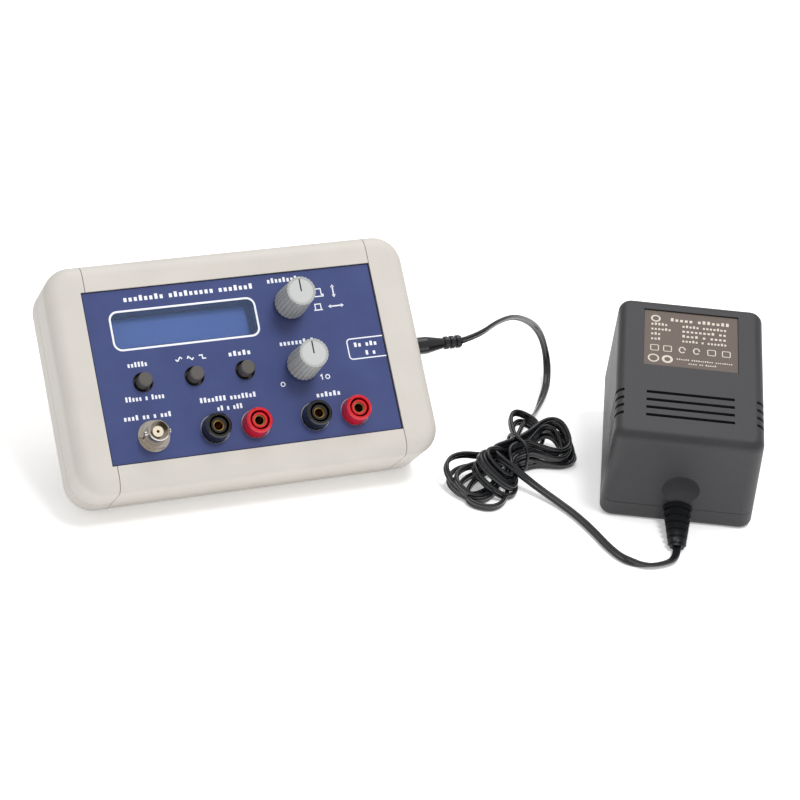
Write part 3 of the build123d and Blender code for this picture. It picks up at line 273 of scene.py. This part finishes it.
def add_lead(tie):
    """The lead, from the plug round the hank to the adaptor's strain relief, as one flat twin cord."""
    hank, hank_keys = hank_route()
    route = [Vector(p) for p in LEAD_ROUTE] + hank + [Vector(p) for p in TAIL_ROUTE]
    path = nurbs_path(route, PATH_SAMPLES)
    per_point = len(path) / len(route)
    first_turn, last_turn = len(LEAD_ROUTE), len(LEAD_ROUTE) + len(hank)
    keys = [(place, Vector(direction)) for place, direction in LEAD_WIDE]
    keys += [(first_turn + place, direction) for place, direction in hank_keys]
    keys += [(last_turn + place, Vector(direction)) for place, direction in TAIL_WIDE]

    def wide(index):
        """Wide direction at one point of the path."""
        place = index / per_point
        for (low, start), (high, end) in zip(keys, keys[1:]):
            if place <= high:
                share = (place - low) / (high - low)
                return start.lerp(end, share * share * (3 - 2 * share))
        return keys[-1][1]

    lead = new_object("lead", tube_mesh("lead", path, twin_section(), wide))
    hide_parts("cord_lead", "cord_hank", "cord_tail")


def add_tie():
    """Thin round tie that holds the hank's waist."""
    middle, half_height = (TIE_LOW + TIE_HIGH) / 2, (TIE_HIGH - TIE_LOW) / 2
    line = []
    for step in range(TIE_STEPS):
        angle = 2 * math.pi * step / TIE_STEPS
        c, r = math.cos(angle), math.sin(angle)
        across = TIE_HALF_WIDTH * math.copysign(abs(c) ** TIE_POWER, c)
        height = middle + half_height * math.copysign(abs(r) ** TIE_POWER, r)
        line.append(hank_point(TIE_PLACE + TIE_SKEW * across, across + TIE_SIDE, height) * MM)
    section = [(TIE_R * math.cos(k * math.pi / 4), TIE_R * math.sin(k * math.pi / 4)) for k in range(8)]
    axis = hank_direction(1, TIE_SKEW, 0)
    mesh = tube_mesh("hank_tie", line, section, lambda index: axis, closed=True)
    tie = new_object("hank_tie", mesh)
    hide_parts("cord_tie")
    return tie


add_lead(add_tie())


# ---------------------------------------------------------------- flat and ring-shaped details
def rounded_box(x_low, y_low, x_high, y_high, radius, steps=6):
    """Outline of a rounded rectangle, anticlockwise."""
    points = []
    centres = ((x_high - radius, y_high - radius), (x_low + radius, y_high - radius),
               (x_low + radius, y_low + radius), (x_high - radius, y_low + radius))
    for quarter, (cx, cy) in enumerate(centres):
        for step in range(steps + 1):
            angle = math.pi / 2 * (quarter + step / steps)
            points.append((cx + radius * math.cos(angle), cy + radius * math.sin(angle)))
    return points


def circle(cx, cy, radius, steps=32):
    """Outline of a circle, anticlockwise."""
    angles = [2 * math.pi * k / steps for k in range(steps)]
    return [(cx + radius * math.cos(angle), cy + radius * math.sin(angle)) for angle in angles]


def stroke(points, width, closed=False):
    """Quads of a line of one width along points, mitred at its corners."""
    count, edges = len(points), []
    for index, point in enumerate(points):
        before = points[index - 1] if closed or index else points[index]
        after = points[(index + 1) % count] if closed or index < count - 1 else points[index]
        into = Vector((point[0] - before[0], point[1] - before[1]))
        out = Vector((after[0] - point[0], after[1] - point[1]))
        into = (into if into.length else out).normalized()
        out = (out if out.length else into).normalized()
        normal = Vector((-(into + out).y, (into + out).x)).normalized()
        reach = width / 2 / max(normal.dot(Vector((-into.y, into.x))), 0.4)
        edges.append((
            (point[0] + normal.x * reach, point[1] + normal.y * reach),
            (point[0] - normal.x * reach, point[1] - normal.y * reach),
        ))
    pairs = zip(edges, edges[1:] + edges[:1]) if closed else zip(edges, edges[1:])
    return [[a[0], a[1], b[1], b[0]] for a, b in pairs]


# A block's width and the gap between words, as shares of the blocks' pitch, and the blocks' heights.
BLOCK_SHARE, WORD_GAP, BLOCK_HEIGHTS = 0.6, 0.8, (0.72, 0.74, 1.0)


def dashes(x_low, x_high, baseline, height, counts):
    """Plain blocks that stand where the real object has words, so many blocks for each word."""
    pitch = (x_high - x_low) / (sum(counts) + WORD_GAP * (len(counts) - 1))
    blocks, x = [], x_low
    for count in counts:
        for _ in range(count):
            tall = height * random.choice(BLOCK_HEIGHTS)
            end = x + BLOCK_SHARE * pitch
            blocks.append([(x, baseline), (end, baseline), (end, baseline + tall), (x, baseline + tall)])
            x += pitch
        x += WORD_GAP * pitch
    return blocks


def arrow(x, y, dx, dy, head):
    """Double arrow from its middle, with its half length as a vector."""
    ahead = Vector((dx, dy)).normalized()
    side = Vector((-ahead.y, ahead.x)) * head
    shaft = 0.8
    shapes = stroke([(x - dx * shaft, y - dy * shaft), (x + dx * shaft, y + dy * shaft)], 0.6)
    for way in (-1, 1):
        tip = Vector((x + way * dx, y + way * dy))
        back = tip - ahead * way * head * 1.5
        shapes.append([tuple(tip), tuple(back + side), tuple(back - side)])
    return shapes


def print_object(name, shapes, matrix, height, body="root"):
    """Thin printed layer made of flat shapes, just above a face."""
    verts, faces = [], []
    for shape in shapes:
        faces.append(tuple(range(len(verts), len(verts) + len(shape))))
        verts += [matrix @ Vector((x, y, height)) for x, y in shape]
    mesh = mesh_from(name, verts, faces, smooth=False)
    up = (matrix.to_3x3() @ Vector((0, 0, 1))).normalized()
    for polygon in mesh.polygons:
        if polygon.normal.dot(up) < 0:
            polygon.flip()
    return new_object(name, mesh, body)


def sleeve_object(name, outlines, matrix, low, high, slot_name):
    """Upright sleeves between an outer and an inner outline each."""
    verts, faces = [], []
    for outer, inner in outlines:
        count, base = len(outer), len(verts)
        for outline, height in ((outer, low), (outer, high), (inner, high), (inner, low)):
            verts += [matrix @ Vector((x, y, height)) for x, y in outline]
        for level in range(4):
            for k in range(count):
                a, b = base + level * count + k, base + level * count + (k + 1) % count
                rise = count if level < 3 else -3 * count
                faces.append((a, b, b + rise, a + rise))
    return new_object(name, mesh_from(name, verts, faces, smooth=False), "root")


PANEL_X, PANEL_Y, PANEL_LENGTH, PANEL_DEPTH = -1.1, -0.9, 136.4, 80.0
PANEL_TOP, INK = -0.8, 0.03                   # the panel's face, and how far ink stands above a face
DISPLAY_X, DISPLAY_Y, DISPLAY_LENGTH, DISPLAY_DEPTH, DISPLAY_R = -24.6, 19.8, 66.5, 16.8, 3.2
BORDER_GAP, BORDER = 0.5, 0.9
BUTTON_XS, BUTTON_Y, BUTTON_HOLE_R = (-48.6, -24.9, -1.2), -4.6, 4.6
KNOB_TOP, KNOB_DISC_R = 18.9, 5.6
BOLD, LINE, THIN = 0.55, 0.5, 0.45            # widths of the print's lines

# Blocks for words: lowest x, highest x, baseline, height, blocks in each word.
PANEL_WORDS = (
    (-50.5, 10.6, 32.9, 2.5, (8, 9, 7)), (-54.2, -44.8, 2.6, 2.3, (6,)),
    (-58.0, -39.8, -12.9, 2.3, (5, 1, 4)), (-7.4, 3.6, 2.5, 2.3, (5,)),
    (-24.6, 2.0, -17.3, 2.3, (7, 7)), (-17.4, -5.2, -21.8, 2.3, (2, 1, 3)),
    (-60.2, -38.2, -21.4, 2.3, (4, 2, 1, 3)), (29.6, 41.6, -21.3, 2.3, (6,)),
    (17.2, 34.0, 34.4, 2.3, (9,)), (17.2, 34.0, 4.5, 2.3, (9,)),
    (52.2, 63.8, 0.0, 2.1, (2, 3)), (57.0, 62.4, -4.2, 2.1, (1, 1)),
)
# Waves above the middle button: middle, and points about it.
WAVE_Y = 3.9
WAVES = (
    (-30.6, [(x / 10, 0.8 * math.sin(x * math.pi / 15)) for x in range(-15, 16, 2)]),
    (-25.2, [(-1.5, -0.2), (-0.9, 0.8), (0.7, -0.8), (1.5, 0.1)]),
    (-19.6, [(-1.6, 0.8), (0, 0.8), (0, -0.8), (1.6, -0.8)]),
)
# The box open to the right at the panel's edge: its outline has seven points at each corner, of
# which the two left corners are drawn.
OPEN_BOX, OPEN_BOX_END, OPEN_BOX_DRAWN = (49.0, -5.6, 68.0, 4.0, 1.6), 67.0, slice(7, 21)
# Push symbols beside the frequency knob: a knob standing out, a knob pressed in, and the line under it.
SYMBOLS = (
    ([(38.0, 25.8), (42.4, 25.8), (42.4, 26.6), (41.6, 26.6), (41.6, 29.4), (38.6, 29.4)], LINE),
    ([(36.8, 19.4), (40.9, 19.4)], BOLD),
    ([(37.5, 19.4), (37.5, 22.2), (40.2, 22.2), (40.2, 19.4)], LINE),
)
ARROWS = ((47.5, 27.7, 0, 3.1, 0.9), (47.5, 20.5, 3.8, 0, 0.9))
# The amplitude dial's 0 and 10.
ZEROS, ZERO_R, ZERO_STEPS = ((15.0, -13.3), (36.6, -12.2)), 0.95, 16
ONE = [(33.2, -11.6), (34.0, -11.0), (34.0, -13.3)]


def add_panel_print():
    """White print of the panel: outlines, wave and push symbols, two dial numbers, blocks for words."""
    half_length, half_depth = DISPLAY_LENGTH / 2 + BORDER_GAP, DISPLAY_DEPTH / 2 + BORDER_GAP
    border = rounded_box(DISPLAY_X - half_length, DISPLAY_Y - half_depth,
                         DISPLAY_X + half_length, DISPLAY_Y + half_depth, DISPLAY_R + BORDER_GAP)
    shapes = stroke(border, BORDER, closed=True)
    for words in PANEL_WORDS:
        shapes += dashes(*words)
    for x, wave in WAVES:
        shapes += stroke([(x + u, WAVE_Y + v) for u, v in wave], BOLD)
    corners = rounded_box(*OPEN_BOX)[OPEN_BOX_DRAWN]
    shapes += stroke([(OPEN_BOX_END, OPEN_BOX[3])] + corners + [(OPEN_BOX_END, OPEN_BOX[1])], BOLD)
    for points, width in SYMBOLS:
        shapes += stroke(points, width)
    for place in ARROWS:
        shapes += arrow(*place)
    for x, y in ZEROS:
        shapes += stroke(circle(x, y, ZERO_R, ZERO_STEPS), THIN, closed=True)
    shapes += stroke(ONE, LINE)
    print_object("panel_print", shapes, CASE, PANEL_TOP + INK)


# Painted shade in the openings and a painted shadow round the panel, as dark sleeves: distances of each sleeve's
# outer and inner side from its opening, and its heights.
DISPLAY_SHADE_LINER, DISPLAY_SHADE_LINER_SPAN = (0.04, 0.4), (-7.7, -1.35)
PANEL_EDGE_SHADE, PANEL_EDGE_SHADE_LOW, PANEL_CORNER_R, CORNER_STEPS = (0.02, 0.55), -1.29, 0.1, 2
BUTTON_SHADE_LINER, BUTTON_SHADE_LINER_LOW, BUTTON_SHADE_LINER_TOP = (0.04, 0.3), -4.25, PANEL_TOP - 0.02


def add_shade_liners():
    """Dark sleeves that paint the shade on the walls of the display's and the buttons' openings, and the painted
    shadow gap round the panel.
    """
    low_x, low_y = DISPLAY_X - DISPLAY_LENGTH / 2, DISPLAY_Y - DISPLAY_DEPTH / 2
    high_x, high_y = DISPLAY_X + DISPLAY_LENGTH / 2, DISPLAY_Y + DISPLAY_DEPTH / 2
    # Painted shade: a dark sleeve on the walls of the display's opening.
    boxes = [
        rounded_box(low_x + d, low_y + d, high_x - d, high_y - d, DISPLAY_R - d) for d in DISPLAY_SHADE_LINER
    ]
    sleeve_object("display_shade_liner", [boxes], CASE, *DISPLAY_SHADE_LINER_SPAN, "black_metal")
    left, right = PANEL_X - PANEL_LENGTH / 2, PANEL_X + PANEL_LENGTH / 2
    front, rear = PANEL_Y - PANEL_DEPTH / 2, PANEL_Y + PANEL_DEPTH / 2
    # Painted shadow: a dark ring in the gap round the panel, where the recess wall throws its shadow.
    edge = [
        rounded_box(left + d, front + d, right - d, rear - d, PANEL_CORNER_R + d, CORNER_STEPS)
        for d in PANEL_EDGE_SHADE
    ]
    sleeve_object("panel_edge_shade", [edge], CASE, PANEL_EDGE_SHADE_LOW, PANEL_TOP + INK, "black_metal")
    # Painted shade: dark rings on the walls of the buttons' holes, round the caps.
    rings = [[circle(x, BUTTON_Y, BUTTON_HOLE_R - d) for d in BUTTON_SHADE_LINER] for x in BUTTON_XS]
    sleeve_object("button_shade_liners", rings, CASE, BUTTON_SHADE_LINER_LOW, BUTTON_SHADE_LINER_TOP, "black_plastic")


MARKER, MARKER_TAIL = 0.62, 0.2               # a pointer line's width, and how far it passes the middle


def add_markers():
    """Black pointer line on each knob's disc."""
    for dial, y in (("frequency", FREQUENCY_Y), ("amplitude", AMPLITUDE_Y)):
        line = stroke([(KNOB_X, y - MARKER_TAIL), (KNOB_X, y + KNOB_DISC_R)], MARKER)
        print_object(f"{dial}_marker", line, CASE, KNOB_TOP + INK, f"{dial}_dial")


# The adaptor's rating label. Rows of blocks: the blocks of the first and the second column's words.
LABEL_TITLE = (-9.5, 18.5, 12.2, 2.2, (5, 7))
LABEL_ROWS = (((5,), (5, 7)), ((6,), (8, 2)), ((3,), (4, 1, 4)), ((3,), (5, 1, 6)))
LABEL_ROW_TOP, LABEL_ROW_PITCH, LABEL_ROW_HEIGHT = 8.6, 3.3, 1.7
FIRST_COLUMN, FIRST_PITCH, SECOND_COLUMN, SECOND_END = -18.5, 1.6, -4.0, 17.0
LABEL_FOOT = ((-6.5, 19.5, -13.4, 0.9, (6, 10, 8)), (-1.0, 12.0, -15.8, 1.0, (4, 2, 5)))
LABEL_BOXES, LABEL_BOX_Y, LABEL_BOX_HALF = (-16.8, -10.8, 9.6, 16.4), -6.6, 1.8
LABEL_ARCS, ARC_WIDTH, ARC_HEIGHT = (-4.0, 2.6), 1.4, 1.9
# Rings: middle, radius and line width.
TOP_RING = ((-16.5, 13.2, 1.9), 0.8)
LOW_RINGS = (((-17.2, -13.6, 2.3), 0.7), ((-10.8, -13.6, 2.0), 1.2))
RING_STEPS = 20


def add_label_print():
    """Print of the adaptor's rating label: plain blocks for words and blank symbols."""
    low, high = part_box("adaptor_label")
    middle = (Vector(low) + Vector(high)) / 2
    label = frame_matrix(middle, adaptor_x, adaptor_y, adaptor_z)
    shapes = dashes(*LABEL_TITLE)
    for row, (first, second) in enumerate(LABEL_ROWS):
        y = LABEL_ROW_TOP - LABEL_ROW_PITCH * row
        first_end = FIRST_COLUMN + FIRST_PITCH * sum(first)
        shapes += dashes(FIRST_COLUMN, first_end, y, LABEL_ROW_HEIGHT, first)
        shapes += dashes(SECOND_COLUMN, SECOND_END, y, LABEL_ROW_HEIGHT, second)
    ring, width = TOP_RING
    shapes += stroke(circle(*ring, RING_STEPS), width, closed=True)
    for x in LABEL_BOXES:
        box = rounded_box(x - LABEL_BOX_HALF, LABEL_BOX_Y - LABEL_BOX_HALF,
                          x + LABEL_BOX_HALF, LABEL_BOX_Y + LABEL_BOX_HALF, 0.5)
        shapes += stroke(box, THIN, closed=True)
    for x in LABEL_ARCS:
        arc = [
            (x + ARC_WIDTH * math.cos(a / 10), LABEL_BOX_Y + ARC_HEIGHT * math.sin(a / 10))
            for a in range(0, 63, 7)
        ]
        shapes += stroke(arc, 0.6)
    for ring, width in LOW_RINGS:
        shapes += stroke(circle(*ring, RING_STEPS), width, closed=True)
    for words in LABEL_FOOT:
        shapes += dashes(*words)
    plate = nodes["adaptor_label"]
    top_face = max(adaptor_z.dot(plate.matrix_world @ v.co) for v in plate.data.vertices)
    height = (top_face - adaptor_z.dot(middle)) / MM + INK
    print_object("label_print", shapes, label, height)


random.seed(7)
add_panel_print()
add_shade_liners()
add_markers()
add_label_print()


# ---------------------------------------------------------------- materials
def srgb(red, green, blue):
    """Linear colour of an sRGB one given from 0 to 255."""
    return tuple(
        value / 255 / 12.92 if value <= 10 else ((value / 255 + 0.055) / 1.055) ** 2.4
        for value in (red, green, blue)
    ) + (1,)


# Slot: colour, second colour of its variation, roughness, roughness spread, size of the grain in
# millimetres, bump height in millimetres, metallic, coat.
FINISHES = {
    "case_plastic": ((203, 198, 191), (195, 190, 183), 0.52, 0.10, 0.35, 0.010, 0, 0),
    "stand_plastic": ((200, 195, 188), (191, 186, 179), 0.55, 0.10, 0.35, 0.010, 0, 0),
    "panel_foil": ((64, 75, 122), (55, 65, 112), 0.42, 0.08, 0.25, 0.004, 0, 0),
    "panel_ink": ((238, 240, 246), (226, 229, 238), 0.45, 0.08, 0.3, 0.004, 0, 0),
    "label_ink": ((214, 204, 192), (196, 186, 174), 0.45, 0.08, 0.3, 0.004, 0, 0),
    "black_metal": ((16, 24, 52), (11, 17, 40), 0.38, 0.08, 0.2, 0.004, 0, 0),
    "lcd": ((62, 96, 168), (56, 88, 160), 0.22, 0.05, 0.6, 0.0, 0, 0.3),
    "circuit_board": ((24, 86, 48), (18, 70, 40), 0.35, 0.10, 1.5, 0.02, 0, 0),
    "black_plastic": ((20, 20, 22), (14, 14, 16), 0.45, 0.12, 0.4, 0.010, 0, 0),
    "button_plastic": ((92, 88, 85), (80, 77, 75), 0.55, 0.10, 0.3, 0.012, 0, 0),
    "knob_plastic": ((172, 174, 172), (158, 160, 158), 0.50, 0.12, 0.3, 0.012, 0, 0),
    "disc_plastic": ((190, 192, 191), (182, 185, 184), 0.30, 0.06, 0.5, 0.003, 0, 0.1),
    "socket_black": ((15, 15, 17), (10, 10, 12), 0.16, 0.06, 0.6, 0.003, 0, 0.4),
    "socket_red": ((206, 12, 34), (190, 8, 28), 0.16, 0.06, 0.6, 0.003, 0, 0.4),
    "nickel": ((214, 206, 196), (194, 186, 176), 0.16, 0.08, 0.5, 0.003, 1, 0),
    "insulator_white": ((238, 228, 206), (228, 217, 194), 0.40, 0.06, 0.5, 0.004, 0, 0),
    "steel": ((176, 176, 176), (152, 152, 153), 0.30, 0.10, 0.4, 0.006, 1, 0),
    "brass": ((196, 160, 92), (170, 134, 70), 0.26, 0.10, 0.5, 0.004, 1, 0),
    "aluminium": ((190, 192, 194), (168, 170, 173), 0.38, 0.10, 0.6, 0.006, 1, 0),
    "capacitor_sleeve": ((22, 28, 52), (15, 20, 40), 0.28, 0.08, 0.8, 0.004, 0, 0.2),
    "feet_rubber": ((24, 24, 24), (17, 17, 17), 0.80, 0.10, 0.4, 0.02, 0, 0),
    "wire_pvc": ((176, 20, 20), (150, 14, 14), 0.35, 0.08, 0.6, 0.006, 0, 0),
    "cord_pvc": ((27, 28, 31), (18, 19, 22), 0.26, 0.08, 0.7, 0.008, 0, 0.25),
    "adaptor_plastic": ((52, 52, 55), (37, 37, 40), 0.46, 0.16, 0.55, 0.030, 0, 0),
    "label_foil": ((94, 80, 71), (84, 71, 63), 0.40, 0.08, 0.4, 0.004, 0, 0),
    "copper": ((168, 92, 52), (142, 72, 38), 0.30, 0.10, 0.6, 0.010, 1, 0),
    "laminations": ((120, 120, 124), (92, 92, 96), 0.45, 0.12, 0.5, 0.020, 1, 0),
}


BROAD = 60                                    # size of the broad mottling, as a multiple of the grain's
RAMP_ENDS = (0.32, 0.68)
COAT_ROUGHNESS, BUMP_STRENGTH, WINDOW_ALPHA = 0.08, 0.6, 0.08
WINDOW = ((150, 175, 225), (140, 165, 215), 0.08, 0.04, 0.8, 0, 0, 0)


def add_material(name, finish):
    """Plastic or metal whose grain shows in its colour, its roughness and its relief."""
    colour, second, roughness, spread, grain, relief, metallic, coat = finish
    material = bpy.data.materials.new(name)
    material.use_nodes = True
    tree = material.node_tree
    shader = tree.nodes["Principled BSDF"]
    shader.inputs["Metallic"].default_value = metallic
    if coat:
        shader.inputs["Coat Weight"].default_value = coat
        shader.inputs["Coat Roughness"].default_value = COAT_ROUGHNESS
    place = tree.nodes.new("ShaderNodeTexCoord")

    def noise_at(size_mm, detail):
        """Noise of one grain size."""
        texture = tree.nodes.new("ShaderNodeTexNoise")
        texture.inputs["Scale"].default_value = 1000 / size_mm
        texture.inputs["Detail"].default_value = detail
        tree.links.new(place.outputs["Object"], texture.inputs["Vector"])
        return texture.outputs["Fac"]

    fine, broad = noise_at(grain, 3), noise_at(grain * BROAD, 2)
    mix = tree.nodes.new("ShaderNodeMix")
    mix.inputs["Factor"].default_value = 0.5
    tree.links.new(fine, mix.inputs["A"])
    tree.links.new(broad, mix.inputs["B"])
    ramp = tree.nodes.new("ShaderNodeValToRGB")
    for end, position, shade in zip(ramp.color_ramp.elements, RAMP_ENDS, (second, colour)):
        end.position, end.color = position, srgb(*shade)
    tree.links.new(mix.outputs["Result"], ramp.inputs["Fac"])
    tree.links.new(ramp.outputs["Color"], shader.inputs["Base Color"])
    rough = tree.nodes.new("ShaderNodeMapRange")
    rough.inputs["To Min"].default_value = roughness - spread / 2
    rough.inputs["To Max"].default_value = roughness + spread / 2
    tree.links.new(broad, rough.inputs["Value"])
    tree.links.new(rough.outputs["Result"], shader.inputs["Roughness"])
    if relief:
        bump = tree.nodes.new("ShaderNodeBump")
        bump.inputs["Strength"].default_value = BUMP_STRENGTH
        bump.inputs["Distance"].default_value = relief * MM
        tree.links.new(fine, bump.inputs["Height"])
        tree.links.new(bump.outputs["Normal"], shader.inputs["Normal"])
    return material


def add_window_material():
    """Clear window: nearly all of what is behind it shows, with a faint sheen of its own."""
    material = add_material("clear_window", WINDOW)
    shader = material.node_tree.nodes["Principled BSDF"]
    shader.inputs["Alpha"].default_value = WINDOW_ALPHA
    material.surface_render_method = "BLENDED"
    return material


# Finish of each piece that is made here.
PIECES = {
    "lead": "cord_pvc", "hank_tie": "cord_pvc", "panel_print": "panel_ink", "label_print": "label_ink",
    # The display's, the panel's and the buttons' dark sleeves are painted shade and a painted shadow gap.
    "display_shade_liner": "black_metal", "panel_edge_shade": "black_metal", "button_shade_liners": "black_plastic",
    "frequency_marker": "black_plastic", "amplitude_marker": "black_plastic",
}


def add_materials():
    """Each node gets the finish of its slot, and each piece made here its own."""
    materials = {name: add_material(name, finish) for name, finish in FINISHES.items()}
    materials["clear_window"] = add_window_material()
    slots = {part["node"]: part["material_slot"] for part in frame["record"]["subparts"]}
    for name, slot_name in slots.items():
        node = nodes[name]
        if not node.material_slots:
            node.data.materials.append(None)
        for place in node.material_slots:
            place.material = materials[slot_name]
    for name, material_name in PIECES.items():
        bpy.data.objects[name].data.materials.append(materials[material_name])


add_materials()


# ---------------------------------------------------------------- stage and light
FLOOR_HALF, FLOOR_WHITE, FLOOR_ROUGHNESS, FLOOR_GLOW, SKY = 4, 0.95, 0.9, 0.28, 0.6


def add_stage():
    """White floor with a faint glow of its own, under an even white sky."""
    corners = [(x * FLOOR_HALF, y * FLOOR_HALF, 0) for x, y in ((-1, -1), (1, -1), (1, 1), (-1, 1))]
    floor = bpy.data.objects.new("floor", mesh_from("floor", corners, [(0, 1, 2, 3)]))
    bpy.context.scene.collection.objects.link(floor)
    material = bpy.data.materials.new("floor")
    material.use_nodes = True
    shader = material.node_tree.nodes["Principled BSDF"]
    shader.inputs["Base Color"].default_value = (FLOOR_WHITE, FLOOR_WHITE, FLOOR_WHITE, 1)
    shader.inputs["Roughness"].default_value = FLOOR_ROUGHNESS
    shader.inputs["Emission Color"].default_value = (1, 1, 1, 1)
    shader.inputs["Emission Strength"].default_value = FLOOR_GLOW
    floor.data.materials.append(material)
    world = bpy.data.worlds.new("world")
    world.use_nodes = True
    sky = world.node_tree.nodes["Background"]
    sky.inputs["Color"].default_value = (1, 1, 1, 1)
    sky.inputs["Strength"].default_value = SKY
    bpy.context.scene.world = world


def add_light(name, place, target, size, power):
    """Round area light, its place, target and size in metres and its power in watts."""
    lamp = bpy.data.lights.new(name, "AREA")
    lamp.shape, lamp.size, lamp.energy = "DISK", size, power
    light = bpy.data.objects.new(name, lamp)
    bpy.context.scene.collection.objects.link(light)
    direction = Vector(target) - Vector(place)
    light.location = place
    light.rotation_mode = "QUATERNION"
    light.rotation_quaternion = direction.to_track_quat("-Z", "Y")
    return light


add_stage()
key = add_light("key", place=(0.3, -0.62, 1.4), target=(0.06, -0.03, 0.03), size=0.45, power=12)
key.visible_glossy = False                    # no glare on the panel's foil
add_light("overhead", place=(0.35, 0.5, 1.4), target=(0.08, 0, 0), size=1.2, power=6)
bpy.context.scene.view_settings.view_transform = "Standard"
